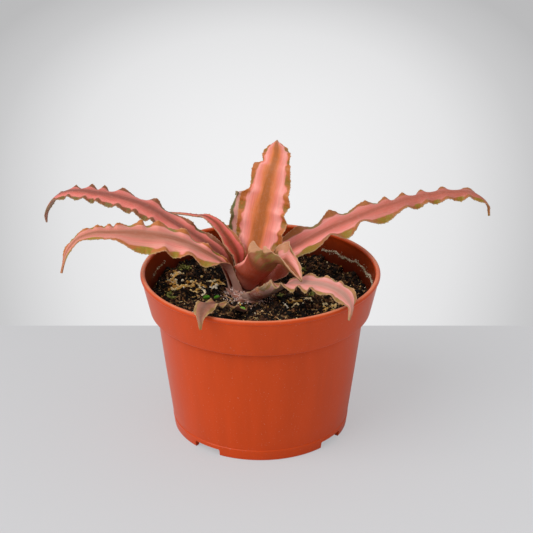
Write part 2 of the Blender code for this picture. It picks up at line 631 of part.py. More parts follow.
def leaf_axes(leaf, midrib, t):
    """Unit vectors along each station's right side and out of its upper face."""
    along = np.gradient(midrib, axis=0)
    along /= np.linalg.norm(along, axis=1)[:, None]
    azimuth = np.radians(eased(leaf["azimuth"], t))
    side = np.stack([np.sin(azimuth), -np.cos(azimuth), 0 * t], -1)
    side -= along * np.sum(side * along, axis=1)[:, None]
    side /= np.linalg.norm(side, axis=1)[:, None]
    up = np.cross(side, along)
    roll = np.radians(eased(leaf["roll"], t))[:, None]
    return side * np.cos(roll) + up * np.sin(roll), up * np.cos(roll) - side * np.sin(roll)


def leaf_sheet(leaf, t, across):
    """The leaf's middle surface: a grid of points, along it and from left to right."""
    midrib = even_stations(leaf["midrib"], len(t))
    side, up = leaf_axes(leaf, midrib, t)
    columns = []
    for u in across:
        half = 1 if u > 0 else 0
        width = eased(halves(leaf["half_width"])[half], t) * abs(u)
        bend = np.radians(eased(halves(leaf["cup"])[half], t)) * abs(u)
        safe = np.where(np.abs(bend) < 1e-4, 1e-4, bend)
        outward = width * np.sin(safe) / safe
        upward = width * (1 - np.cos(safe)) / safe
        wave = margin_wave(leaf["right" if half else "left"], t)
        lift = eased(halves(leaf["ruffle"])[half], t) * wave * abs(u) ** RUFFLE_SPREAD
        sign = 1 if u > 0 else -1
        sideways = (sign * (outward - lift * np.sin(bend)))[:, None]
        columns.append(midrib + side * sideways + up * (upward + lift * np.cos(bend))[:, None])
    return np.stack(columns, 1)


def sheet_normals(sheet):
    """Unit normals of a grid of points, out of the leaf's upper face."""
    normals = np.cross(np.gradient(sheet, axis=1), np.gradient(sheet, axis=0))
    return normals / np.linalg.norm(normals, axis=2)[:, :, None]


def make_leaf(name, leaf, surface):
    """A closed solid: the leaf's sheet thickened to both sides and closed all round."""
    t = np.linspace(0, 1, leaf["stations"])
    sheet = leaf_sheet(leaf, t, ACROSS)
    normals = sheet_normals(sheet)
    spread = np.abs(np.array(ACROSS))[None, :, None]
    thickness = MIDDLE_THICKNESS + (MARGIN_THICKNESS - MIDDLE_THICKNESS) * spread
    mesh_data = bmesh.new()
    above = (sheet + normals * thickness / 2) * MM
    below = (sheet - normals * thickness / 2) * MM
    upper = [[mesh_data.verts.new(point) for point in row] for row in above]
    lower = [[mesh_data.verts.new(point) for point in row] for row in below]
    loops = [upper_row + lower_row[::-1] for upper_row, lower_row in zip(upper, lower)]
    for first, second in zip(loops, loops[1:]):
        bridge(mesh_data, first, second)
    for row_up, row_down in ((upper[0], lower[0]), (upper[-1], lower[-1])):
        for step in range(len(row_up) - 1):
            mesh_data.faces.new((row_up[step], row_up[step + 1], row_down[step + 1], row_down[step]))
    return finish_object(name, mesh_data, surface)


def make_leaves():
    pink = (0.72, 0.21, 0.17)
    old_brown = (0.36, 0.13, 0.09)
    for name, leaf in LEAVES.items():
        colour = old_brown if name == "leaf_low_left" else pink
        make_leaf(name, leaf, material(name + "_blade", colour, 0.55))


def main():
    clear_scene()
    make_pot()
    make_soil()
    make_stem()
    make_leaves()


main()
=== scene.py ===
"""Looks of a potted earth star (Cryptanthus) in a terracotta-coloured plastic nursery pot.

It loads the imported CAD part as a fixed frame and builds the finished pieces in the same
place: a smooth moulded pot, crumbly potting mix with its grit and moss, and the wavy,
toothed, pink-banded leaves. Tables and driving dimensions are in millimetres.
"""

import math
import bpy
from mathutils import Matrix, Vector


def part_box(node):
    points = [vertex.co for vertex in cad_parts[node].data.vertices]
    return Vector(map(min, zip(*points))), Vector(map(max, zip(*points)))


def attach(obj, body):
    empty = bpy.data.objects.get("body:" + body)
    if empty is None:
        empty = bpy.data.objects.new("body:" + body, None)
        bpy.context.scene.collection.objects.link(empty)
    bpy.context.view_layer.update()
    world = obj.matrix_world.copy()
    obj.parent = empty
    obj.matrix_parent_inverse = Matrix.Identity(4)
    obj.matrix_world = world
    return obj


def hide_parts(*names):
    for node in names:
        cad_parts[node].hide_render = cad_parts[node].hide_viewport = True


bl_info = {
    "name": "Potted Earth Star",
    "version": (1, 0, 0),
    "blender": (4, 5, 0),
    "location": "View3D > Sidebar > Earth Star",
    "description": "Builds a pink earth star in a plastic nursery pot, with its potting mix",
    "category": "Add Mesh",
}

import bpy
import numpy as np
from mathutils import Vector

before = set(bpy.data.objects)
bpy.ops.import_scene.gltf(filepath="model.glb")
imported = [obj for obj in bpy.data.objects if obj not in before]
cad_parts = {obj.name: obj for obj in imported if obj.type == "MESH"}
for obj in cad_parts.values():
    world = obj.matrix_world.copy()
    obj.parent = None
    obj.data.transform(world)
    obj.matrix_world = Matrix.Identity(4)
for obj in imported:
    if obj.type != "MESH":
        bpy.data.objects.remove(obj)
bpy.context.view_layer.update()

MM = 0.001
POT_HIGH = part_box("pot")[1]
STEM_LOW, STEM_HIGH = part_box("stem")
RIM_RADIUS = POT_HIGH.x / MM
POT_HEIGHT = POT_HIGH.z / MM

# The pot's section: rim bead, collar, step, body and notched foot.
WALL = 1.5
BEAD = 2.4
COLLAR_BOTTOM = (52.7, 60.8)
BODY_TOP = (49.4, 59.6)
FOOT_RADIUS = 42.2
FOOT_RING = 2.4
FOOT_LEDGE_Z = 5.6
FOOT_LEDGE_DEPTH = 0.25
FLOOR_BOTTOM_Z = 4.6
NOTCHES = 4
FIRST_NOTCH = 53.0
NOTCH_WIDTH = 14.5
NOTCH_HEIGHT = 3.4
HOLE_RADIUS = 5.0
HOLE_CIRCLE = 26.0

# The potting mix: a slight tilt, broad lumps and the crumbs that lie on it.
SOIL_LEVEL = 67.0
SOIL_TILT = (-0.022, -0.020)
SOIL_ROUGHNESS = 0.9
SOIL_RADIUS = 52.0

# Leaf blades: what the tables and their curves share with the solids.
RUFFLE_SPREAD = 2.2
CREST_SHARPNESS = 0.7

# Each table below runs along a leaf, from 0 at its base to 1 at its tip.
# midrib: points of the middle of the leaf. azimuth: the way it points, in degrees.
# half_width: middle to margin. cup: half angle of the channel that the blade makes.
# roll: how far the blade turns its right side up. ruffle: height of the margin's waves.
# left, right: where the margin is lowest and highest in turn, lowest first.
# A pair of tables is for the left and the right half of the blade.
LEAVES = {
    "leaf_right": {
        "midrib": [
            (-1.4, -0.6, 70.6), (2, -0.6, 77), (8, 2.4, 84), (19, 7, 90), (38, 12, 98),
            (60, 17, 105), (81, 23, 108.6), (94, 25.4, 109), (100.7, 26, 108.4),
            (106.2, 25, 106.2), (109.6, 24.4, 102.4), (110.4, 24, 97.4),
        ],
        "azimuth": [(0, 8), (0.15, 14), (1, 14)],
        "half_width": (
            [
                (0, 3.4), (0.06, 3.8), (0.12, 5), (0.18, 8), (0.25, 10.4), (0.4, 10.4), (0.5, 8.8),
                (0.6, 7), (0.7, 6), (0.85, 5.2), (0.93, 3.4), (0.97, 1.6), (1, 0.4),
            ],
            [
                (0, 3), (0.05, 5.6), (0.1, 9.2), (0.13, 8.6), (0.19, 6.6), (0.25, 9.4), (0.4, 9.8),
                (0.5, 8.8), (0.6, 7.4), (0.7, 6), (0.85, 5.2), (0.93, 3.4), (0.97, 1.6), (1, 0.4),
            ],
        ),
        "cup": (
            [
                (0, 50), (0.12, 60), (0.25, 10), (0.5, 0), (0.62, -14), (0.72, -26), (0.88, -20),
                (1, 0),
            ],
            [
                (0, 40), (0.06, -10), (0.14, -30), (0.19, 0), (0.25, 10), (0.5, 0), (0.62, -14),
                (0.72, -26), (0.88, -20), (1, 0),
            ],
        ),
        "roll": [(0, 0), (0.05, -18), (0.12, -24), (0.2, -6), (0.5, -6), (0.8, -6), (1, 0)],
        "ruffle": (
            [(0, 0), (0.1, 1), (0.25, 2), (0.4, 3), (0.5, 1.4), (0.8, 1.5), (0.95, 0.8), (1, 0)],
            [
                (0, 0), (0.1, 1), (0.25, 1.6), (0.4, 2.8), (0.55, 3), (0.65, 1.7), (0.85, 1.5),
                (0.95, 0.5), (1, 0),
            ],
        ),
        "left": [
            0.06, 0.25, 0.3, 0.375, 0.425, 0.505, 0.54, 0.578, 0.6, 0.645, 0.68, 0.712, 0.742, 0.79,
            0.826, 0.876, 0.93, 0.96, 1,
        ],
        "right": [
            0.24, 0.335, 0.385, 0.455, 0.535, 0.625, 0.67, 0.705, 0.745, 0.785, 0.84, 0.87, 0.92,
            0.96, 1,
        ],
    },
    "leaf_far_left": {
        "midrib": [
            (-14.3, 1, 69.6), (-16, 3, 77), (-18.5, 6, 82.6), (-23, 9.5, 86.6), (-31, 14, 90.4),
            (-40, 18.6, 94.6), (-49, 23, 98.8), (-58.5, 27.8, 101.8), (-68, 32.5, 103.2),
            (-79, 38, 103.2), (-89, 43, 102.4), (-97.8, 48.2, 99.4), (-103.9, 52.9, 93.6),
            (-107.7, 56, 86), (-108.2, 57.5, 79.9),
        ],
        "azimuth": [(0, 165), (0.2, 153), (1, 153)],
        "half_width": (
            [
                (0, 5), (0.12, 5.5), (0.28, 6), (0.42, 7.4), (0.6, 7), (0.72, 5.6), (0.83, 4),
                (0.9, 2.8), (0.96, 1.6), (1, 0.4),
            ],
            [
                (0, 5), (0.12, 5.5), (0.28, 6), (0.42, 8), (0.6, 7.6), (0.75, 6), (0.83, 4.4),
                (0.9, 2.8), (0.96, 1.6), (1, 0.4),
            ],
        ),
        "cup": (
            [(0, 45), (0.12, 40), (0.2, 0), (0.4, -12), (0.6, -20), (0.8, -20), (1, 0)],
            [(0, 45), (0.12, 45), (0.25, 25), (0.4, -10), (0.6, -20), (0.8, -20), (1, 0)],
        ),
        "roll": [(0, 0), (0.2, 3), (0.5, 8), (0.8, 8), (1, 0)],
        "ruffle": (
            [(0, 0), (0.1, 0.8), (0.25, 2), (0.5, 1.5), (0.75, 1.3), (0.9, 0.5), (1, 0)],
            [(0, 0), (0.1, 0.8), (0.25, 1.5), (0.5, 1.9), (0.75, 1.6), (0.9, 0.7), (1, 0)],
        ),
        "left": [
            0.08, 0.16, 0.24, 0.3, 0.36, 0.4, 0.425, 0.475, 0.5, 0.545, 0.585, 0.635, 0.66, 0.69,
            0.735, 0.765, 0.8, 0.86, 0.92, 1,
        ],
        "right": [
            0.08, 0.19, 0.25, 0.285, 0.4, 0.445, 0.5, 0.585, 0.63, 0.66, 0.675, 0.71, 0.75, 0.78,
            0.82, 0.855, 0.92, 1,
        ],
    },
    "leaf_near_left": {
        "midrib": [
            (-11.4, -4.6, 70), (-13.4, -5.6, 77), (-16.8, -5, 83.6), (-26, -4, 90.6),
            (-42, -5.4, 98.2), (-60.5, -8.6, 102), (-70, -10, 103), (-77, -11.4, 103.2),
            (-84, -12.7, 101), (-88.6, -13.5, 96), (-91, -13.9, 90.4), (-92.6, -14.2, 84.5),
        ],
        "azimuth": [(0, 214), (0.2, 197), (1, 190)],
        "half_width": (
            [
                (0, 4), (0.1, 4), (0.15, 7), (0.2, 12), (0.26, 13), (0.33, 11.6), (0.45, 11.5),
                (0.56, 11), (0.64, 7.5), (0.7, 5.5), (0.78, 4.4), (0.88, 3), (1, 0.4),
            ],
            [
                (0, 4.4), (0.1, 4.6), (0.2, 4.6), (0.28, 5.4), (0.34, 8), (0.42, 9.8), (0.56, 9.2),
                (0.65, 5.8), (0.78, 4.2), (0.88, 3), (1, 0.4),
            ],
        ),
        "cup": (
            [(0, 55), (0.1, 60), (0.2, 20), (0.4, -10), (0.64, -15), (0.75, 20), (1, 20)],
            [(0, 50), (0.12, 55), (0.3, 20), (0.56, 0), (0.75, 20), (1, 20)],
        ),
        "roll": [(0, 0), (0.2, 8), (0.45, 13), (0.6, 13), (0.8, 8), (1, 5)],
        "ruffle": (
            [
                (0, 0), (0.1, 0.6), (0.22, 2.8), (0.33, 2), (0.45, 1.8), (0.56, 2.2), (0.68, 1.4),
                (0.8, 0.5), (1, 0),
            ],
            [
                (0, 0), (0.1, 0.5), (0.25, 1.6), (0.5, 1.9), (0.62, 1.5), (0.7, 0.9), (0.9, 0.7),
                (1, 0),
            ],
        ),
        "left": [0.06, 0.13, 0.23, 0.33, 0.39, 0.445, 0.52, 0.66, 0.76, 0.82, 0.9, 1],
        "right": [
            0.08, 0.15, 0.2, 0.25, 0.3, 0.355, 0.4, 0.467, 0.51, 0.538, 0.587, 0.648, 0.665, 0.68,
            0.703, 0.733, 0.753, 0.78, 0.84, 0.9, 1,
        ],
    },
    "leaf_inner_left": {
        "midrib": [
            (-11.5, -0.4, 74), (-11, 0.3, 80.6), (-11.4, 1.3, 86.9), (-14.4, 3.6, 92),
            (-17.8, 7.7, 95.4), (-21.2, 13.1, 97.8), (-26, 18.6, 98.9), (-30.8, 24.2, 97.3),
            (-35.2, 29.2, 95.8), (-40.2, 33.4, 94.6), (-45.5, 37, 93.5),
        ],
        "azimuth": [(0, 172), (0.2, 152), (0.6, 130), (1, 140)],
        "half_width": (
            [
                (0, 3.4), (0.15, 5.2), (0.28, 8), (0.34, 5.4), (0.5, 3.8), (0.6, 2.6), (0.7, 1.5),
                (0.85, 0.9), (1, 0.3),
            ],
            [
                (0, 3.2), (0.15, 5), (0.3, 5), (0.4, 4.2), (0.5, 3), (0.6, 1.8), (0.7, 1.3),
                (0.85, 0.9), (1, 0.3),
            ],
        ),
        "cup": (
            [(0, 40), (0.2, 60), (0.3, 53), (0.4, 80), (0.6, 40), (1, 40)],
            [(0, 40), (0.2, 50), (0.3, 12), (0.6, 10), (1, 20)],
        ),
        "roll": [(0, 0), (0.3, 10), (1, 10)],
        "ruffle": [(0, 0), (0.1, 0.5), (0.3, 0.8), (0.6, 0.4), (1, 0)],
        "left": [0.1, 0.3, 0.45, 0.6, 0.75, 0.9],
        "right": [0.1, 0.3, 0.45, 0.6, 0.75, 0.9],
    },
    "leaf_upright": {
        "midrib": [
            (-5.8, 3.5, 71.5), (-5.2, 5, 79), (-4.2, 6, 84), (-2, 7.8, 92.4), (0.2, 10, 104),
            (2.7, 12.5, 115.5), (5.4, 15.6, 125.6), (7, 19.2, 129.4), (7.6, 24, 131.2),
            (7.9, 31, 131.6), (8, 38.5, 130.4),
        ],
        "azimuth": [(0, 75), (0.15, 72), (1, 72)],
        "half_width": (
            [
                (0, 3.4), (0.09, 4.8), (0.16, 6.6), (0.25, 9.6), (0.36, 10.6), (0.47, 11.4),
                (0.51, 11.2), (0.55, 7.8), (0.65, 9), (0.69, 8.8), (0.71, 5.4), (0.77, 6.3),
                (0.84, 6.1), (0.865, 4.4), (0.89, 3.4), (0.94, 1.7), (1, 0.4),
            ],
            [
                (0, 3.4), (0.09, 4.8), (0.16, 7), (0.25, 13), (0.36, 13.6), (0.47, 12), (0.5, 13.2),
                (0.58, 11.6), (0.65, 10), (0.71, 8.8), (0.74, 7.2), (0.8, 6.6), (0.82, 5.6),
                (0.85, 5.2), (0.88, 3), (0.94, 1.2), (1, 0.4),
            ],
        ),
        "cup": [
            (0, 58), (0.09, 52), (0.23, 22), (0.57, 10), (0.72, -6), (0.8, -12), (0.9, -12),
            (1, -5),
        ],
        "roll": [(0, 0), (1, 0)],
        "ruffle": [(0, 0), (0.12, 0.8), (0.28, 1.3), (0.57, 1.3), (0.74, 0.8), (0.84, 0.4), (1, 0)],
        "left": [0.1, 0.2, 0.28, 0.36, 0.43, 0.53, 0.58, 0.7, 0.735, 0.785, 0.83, 0.88, 0.94, 1],
        "right": [
            0.1, 0.19, 0.26, 0.33, 0.39, 0.44, 0.475, 0.55, 0.63, 0.71, 0.74, 0.78, 0.82, 0.9, 1,
        ],
    },
    "leaf_back": {
        "midrib": [
            (-8, 4.8, 70.5), (-8, 8, 78), (-7.5, 12.5, 86), (-7, 17.5, 93.5), (-7, 24, 99.5),
            (-7.5, 33, 103), (-8.5, 43, 102), (-9.5, 52, 97), (-10, 59, 89),
        ],
        "azimuth": [(0, 100), (0.3, 92), (1, 94)],
        "half_width": [
            (0, 4), (0.15, 5.4), (0.3, 8), (0.42, 8), (0.52, 6.2), (0.62, 4), (0.8, 3), (1, 0.4),
        ],
        "cup": [(0, 42), (0.2, 45), (0.4, 20), (1, 10)],
        "roll": [(0, 0), (1, 0)],
        "ruffle": [(0, 0), (0.1, 0.8), (0.3, 1.8), (0.6, 2), (0.85, 0.8), (1, 0)],
        "left": [0.05, 0.2, 0.32, 0.42, 0.52, 0.62, 0.72, 0.84, 1],
        "right": [0.05, 0.2, 0.3, 0.4, 0.5, 0.6, 0.7, 0.82, 1],
    },
    "leaf_front": {
        "midrib": [
            (-5, -5.2, 72), (-4.2, -8, 75.4), (-1.6, -11.4, 80), (2, -14.6, 85.6),
            (5.4, -17.8, 90.4), (9.6, -21.8, 93), (13.4, -25.6, 92.2), (16.4, -28.8, 90),
            (18.8, -31.6, 88.4),
        ],
        "azimuth": [(0, -85), (0.15, -75), (0.35, -52), (1, -46)],
        "half_width": (
            [
                (0, 3.2), (0.12, 4), (0.22, 6.5), (0.33, 13), (0.45, 15), (0.6, 15), (0.66, 12),
                (0.72, 9), (0.8, 6), (0.9, 4), (1, 0.4),
            ],
            [
                (0, 5), (0.05, 7), (0.12, 9.8), (0.2, 12.2), (0.28, 11.5), (0.35, 12.8),
                (0.45, 19), (0.49, 13.4), (0.53, 10.4), (0.59, 10.4), (0.65, 6.6), (0.73, 4),
                (0.85, 3), (1, 0.4),
            ],
        ),
        "cup": (
            [
                (0, 50), (0.2, 50), (0.35, 112), (0.5, 110), (0.6, 97), (0.7, 105), (0.85, 110),
                (1, 80),
            ],
            [
                (0, 50), (0.2, 66), (0.3, 80), (0.4, 135), (0.45, 148), (0.56, 128), (0.7, 105),
                (0.85, 80), (1, 60),
            ],
        ),
        "roll": [(0, 0), (0.2, 12), (0.35, 22), (0.6, 14), (0.8, 8), (1, 0)],
        "ruffle": (
            [(0, 0), (0.1, 0.5), (0.3, 1), (0.55, 1), (0.75, 0.6), (1, 0)],
            [(0, 0), (0.1, 0.5), (0.25, 1), (0.5, 1), (0.75, 0.6), (1, 0)],
        ),
        "left": [0.05, 0.2, 0.34, 0.46, 0.6, 0.72, 0.85, 1],
        "right": [0.06, 0.14, 0.22, 0.3, 0.45, 0.52, 0.59, 0.68, 0.8, 1],
    },
    "leaf_low_right": {
        "midrib": [
            (-5.8, -5.6, 68), (-4.8, -9.2, 68.8), (-1, -14.4, 71.2), (5.4, -19.8, 76.6),
            (14.4, -25, 84), (24, -31, 86.8), (32.5, -37, 87.4), (38.3, -41, 85.4),
            (40.8, -44.5, 81.4), (40, -47.5, 76.3),
        ],
        "azimuth": [(0, -75), (0.3, -42), (0.8, -50), (1, -60)],
        "half_width": (
            [
                (0, 3.2), (0.08, 6.6), (0.18, 7.5), (0.3, 8), (0.5, 7.5), (0.65, 7), (0.76, 5.8),
                (0.84, 5.4), (0.88, 4), (0.915, 1.5), (1, 0.4),
            ],
            [
                (0, 3.2), (0.1, 6.5), (0.3, 8), (0.5, 7.5), (0.65, 7), (0.76, 5.8), (0.84, 5.4),
                (0.88, 4), (0.915, 1.5), (1, 0.4),
            ],
        ),
        "cup": (
            [(0, 50), (0.1, 75), (0.25, 65), (0.35, 25), (0.7, 5), (1, 10)],
            [(0, 50), (0.2, 62), (0.35, 75), (0.46, 10), (0.8, 5), (1, 10)],
        ),
        "roll": [(0, 0), (0.15, 10), (0.35, 5), (0.5, -6), (1, -5)],
        "ruffle": (
            [(0, 0), (0.1, 0.4), (0.3, 1), (0.6, 0.9), (0.8, 0.8), (0.93, 0.3), (1, 0)],
            [
                (0, 0), (0.1, 0.6), (0.24, 1.4), (0.36, 2.2), (0.5, 1.8), (0.65, 1.5), (0.8, 0.8),
                (0.93, 0.3), (1, 0),
            ],
        ),
        "left": [
            0.05, 0.12, 0.2, 0.26, 0.32, 0.38, 0.46, 0.54, 0.59, 0.65, 0.72, 0.76, 0.79, 0.85,
            0.91, 1,
        ],
        "right": [
            0.06, 0.12, 0.18, 0.24, 0.3, 0.36, 0.405, 0.445, 0.51, 0.555, 0.61, 0.645, 0.71, 0.78,
            0.84, 0.92, 1,
        ],
    },
    "leaf_low_left": {
        "midrib": [
            (-8, -22.5, 68.8), (-11.4, -25, 71.4), (-16, -30.5, 75.2), (-20, -37, 79.2),
            (-23.8, -45, 82.8), (-25.6, -52, 83.6), (-26.4, -57, 81), (-26.4, -59, 77.4),
        ],
        "azimuth": [(0, -125), (0.6, -115), (1, -100)],
        "half_width": [(0, 2.5), (0.3, 4), (0.6, 4.5), (0.78, 4.2), (0.9, 1.5), (1, 0.4)],
        "cup": [(0, 40), (0.5, 15), (0.8, -10), (1, 10)],
        "roll": [(0, 0), (1, 0)],
        "ruffle": [(0, 0), (0.2, 1), (0.6, 1.2), (0.8, 0.6), (1, 0)],
        "left": [0.05, 0.15, 0.28, 0.38, 0.5, 0.62, 0.75, 0.9, 1],
        "right": [0.05, 0.2, 0.3, 0.42, 0.52, 0.65, 0.78, 0.9, 1],
    },
    "leaf_heart_right": {
        "midrib": [(-4.5, -0.2, 76), (-3.6, 0, 80), (-2, 0.4, 85), (0.6, 1, 89.5)],
        "azimuth": [(0, 15), (1, 15)],
        "half_width": [(0, 2.2), (0.4, 3.4), (0.75, 2.2), (1, 0.4)],
        "cup": [(0, 50), (0.5, 45), (1, 30)],
        "roll": [(0, 0), (1, 0)],
        "ruffle": [(0, 0), (0.5, 0.3), (1, 0)],
        "left": [0.1, 0.35, 0.6, 0.85],
        "right": [0.1, 0.35, 0.6, 0.85],
    },
    "leaf_heart_left": {
        "midrib": [(-7.4, -4.8, 79), (-7.2, -5.2, 81), (-7.2, -5.6, 84), (-7.4, -6.2, 86.8)],
        "azimuth": [(0, 198), (1, 210)],
        "half_width": [(0, 1.8), (0.4, 2.4), (0.75, 1.8), (1, 0.4)],
        "cup": [(0, 50), (0.5, 45), (1, 30)],
        "roll": [(0, 0), (1, 0)],
        "ruffle": [(0, 0), (0.5, 0.3), (1, 0)],
        "left": [0.1, 0.35, 0.6, 0.85],
        "right": [0.1, 0.35, 0.6, 0.85],
    },
}


def linear(hex_colour):
    """Linear red, green and blue of an sRGB hex colour."""
    shares = [int(hex_colour[start : start + 2], 16) / 255 for start in (1, 3, 5)]
    return [
        share / 12.92 if share <= 0.04045 else ((share + 0.055) / 1.055) ** 2.4 for share in shares
    ]


def rgba(hex_colour):
    """The same with an alpha of 1."""
    return (*linear(hex_colour), 1.0)


# Where a colour Mix node takes its share and its two colours, and gives the result. A Map
# Range node takes its value at 0, the ends of its range at 1 and 2, and the new ends at 3 and 4.
SHARE, FIRST, SECOND, MIXED = 0, 6, 7, 2
COLOURS = {"data_type": "RGBA"}
SOFT_STEP = {"interpolation_type": "SMOOTHSTEP"}


def add_node(tree, kind, inputs=None, out=0, stops=None, **settings):
    """Adds a node with its settings and colour stops, and returns one of its outputs.

    Each input is a value, a hex colour or another node's output, which is linked.
    """
    made = tree.nodes.new("ShaderNode" + kind)
    for setting, value in settings.items():
        setattr(made, setting, value)
    for socket, value in (inputs or {}).items():
        if isinstance(value, bpy.types.NodeSocket):
            tree.links.new(value, made.inputs[socket])
        else:
            made.inputs[socket].default_value = rgba(value) if isinstance(value, str) else value
    if stops:
        elements = made.color_ramp.elements
        elements.remove(elements[1])
        elements[0].position, elements[0].color = stops[0][0], rgba(stops[0][1])
        for position, hex_colour in stops[1:]:
            elements.new(position).color = rgba(hex_colour)
    return made.outputs[out]


def new_material(name, **sockets):
    """A material with its tree and its Principled shader, whose plain sockets are set."""
    made = bpy.data.materials.new(name)
    made.use_nodes = True
    shader = made.node_tree.nodes["Principled BSDF"]
    for socket, value in sockets.items():
        shader.inputs[socket.replace("_", " ")].default_value = value
    return made, made.node_tree, shader


def feed(tree, shader, **sources):
    """Links patterns into the shader's sockets."""
    for socket, source in sources.items():
        tree.links.new(source, shader.inputs[socket.replace("_", " ")])


def deselect():
    """Back to object mode, with nothing selected."""
    if bpy.context.mode != "OBJECT":
        bpy.ops.object.mode_set(mode="OBJECT")
    bpy.ops.object.select_all(action="DESELECT")


def select_only(piece):
    """Selects one piece and makes it the active one."""
    deselect()
    piece.select_set(True)
    bpy.context.view_layer.objects.active = piece


def added(primitive_add, name, **settings):
    """Adds a primitive on its own, names it and applies its place, turn and size to its mesh."""
    deselect()
    primitive_add(**settings)
    piece = bpy.context.view_layer.objects.active
    piece.name = piece.data.name = name
    bpy.ops.object.transform_apply(location=True, rotation=True, scale=True)
    return piece


def edit_all():
    """Goes into edit mode with everything selected."""
    bpy.ops.object.mode_set(mode="EDIT")
    bpy.ops.mesh.select_all(action="SELECT")


def apply_modifier(piece, kind, **settings):
    """Gives the piece a modifier with these settings and applies it."""
    select_only(piece)
    modifier = piece.modifiers.new(kind.lower(), kind)
    for setting, value in settings.items():
        setattr(modifier, setting, value)
    bpy.ops.object.modifier_apply(modifier=modifier.name)


def outward_normals(piece):
    """Merges doubles and turns every face of a closed piece outwards."""
    select_only(piece)
    edit_all()
    bpy.ops.mesh.remove_doubles(threshold=0.00001)
    bpy.ops.mesh.normals_make_consistent(inside=False)
    bpy.ops.object.mode_set(mode="OBJECT")


def turned_shell(name, sides, section, centre=(0, 0), fill="NGON"):
    """A closed shell of rings: a circle, extruded and scaled through a section's points."""
    radius, z = section[0]
    x, y = centre[0] * MM, centre[1] * MM
    shell = added(
        bpy.ops.mesh.primitive_circle_add,
        name,
        vertices=sides,
        radius=radius * MM,
        fill_type=fill,
        location=(x, y, z * MM),
    )
    edit_all()
    bpy.ops.mesh.region_to_loop()
    for next_radius, next_z in section[1:]:
        bpy.ops.mesh.extrude_edges_move(TRANSFORM_OT_translate={"value": (0, 0, (next_z - z) * MM)})
        share = next_radius / radius
        bpy.ops.transform.resize(value=(share, share, 1), center_override=(x, y, next_z * MM))
        radius, z = next_radius, next_z
    bpy.ops.mesh.edge_face_add()
    bpy.ops.object.mode_set(mode="OBJECT")
    outward_normals(shell)
    return shell


def points_of(piece):
    """The piece's vertices as an array of rows, in metres."""
    flat = np.empty(len(piece.data.vertices) * 3)
    piece.data.vertices.foreach_get("co", flat)
    return flat.reshape(-1, 3)


def set_points(piece, points):
    """Moves the piece's vertices to rows of points in metres."""
    piece.data.vertices.foreach_set("co", np.asarray(points, float).ravel())
    piece.data.update()


def set_attribute(piece, name, values):
    """A number for each vertex, which a material reads by name."""
    layer = piece.data.attributes.new(name, "FLOAT", "POINT")
    layer.data.foreach_set("value", np.asarray(values, np.float32))


def set_uv(piece, name, per_vertex):
    """A UV map from one pair of numbers for each vertex."""
    layer = piece.data.uv_layers.new(name=name)
    corners = np.empty(len(piece.data.loops), int)
    piece.data.loops.foreach_get("vertex_index", corners)
    layer.data.foreach_set("uv", np.asarray(per_vertex, np.float32)[corners].ravel())


def smooth(piece, degrees=180):
    """Smooth shading, but sharp where faces meet at more than an angle in degrees."""
    select_only(piece)
    bpy.ops.object.shade_smooth_by_angle(angle=math.radians(degrees))


def paint(piece, *materials):
    """Gives the piece these materials and no others."""
    piece.data.materials.clear()
    for material in materials:
        piece.data.materials.append(material)


def settle(piece, slot, *nodes):
    """The piece rides on the root body and stands for CAD nodes, which it hides. Its slot is not
    used.
    """
    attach(piece, "root")
    if nodes:
        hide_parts(*nodes)


# ---------------------------------------------------------------- the pot


def arc(centre, radius, start, end, steps):
    """Points of an arc in the section's plane, from one angle in degrees to another."""
    x, y = centre
    turns = np.radians(np.linspace(start, end, steps + 1))
    return [(x + radius * math.cos(turn), y + radius * math.sin(turn)) for turn in turns]


def outer_wall(z):
    """Radius of the pot's body, outside, at a height under the step."""
    return FOOT_RADIUS + (BODY_TOP[0] - FOOT_RADIUS) * z / BODY_TOP[1]


def inner_collar(z):
    """Radius of the collar's inner wall at a height."""
    low, high = COLLAR_BOTTOM[1] + 1.6, POT_HEIGHT - 3.4
    inset = COLLAR_BOTTOM[0] - WALL
    return inset + (RIM_RADIUS - BEAD - inset) * (z - low) / (high - low)


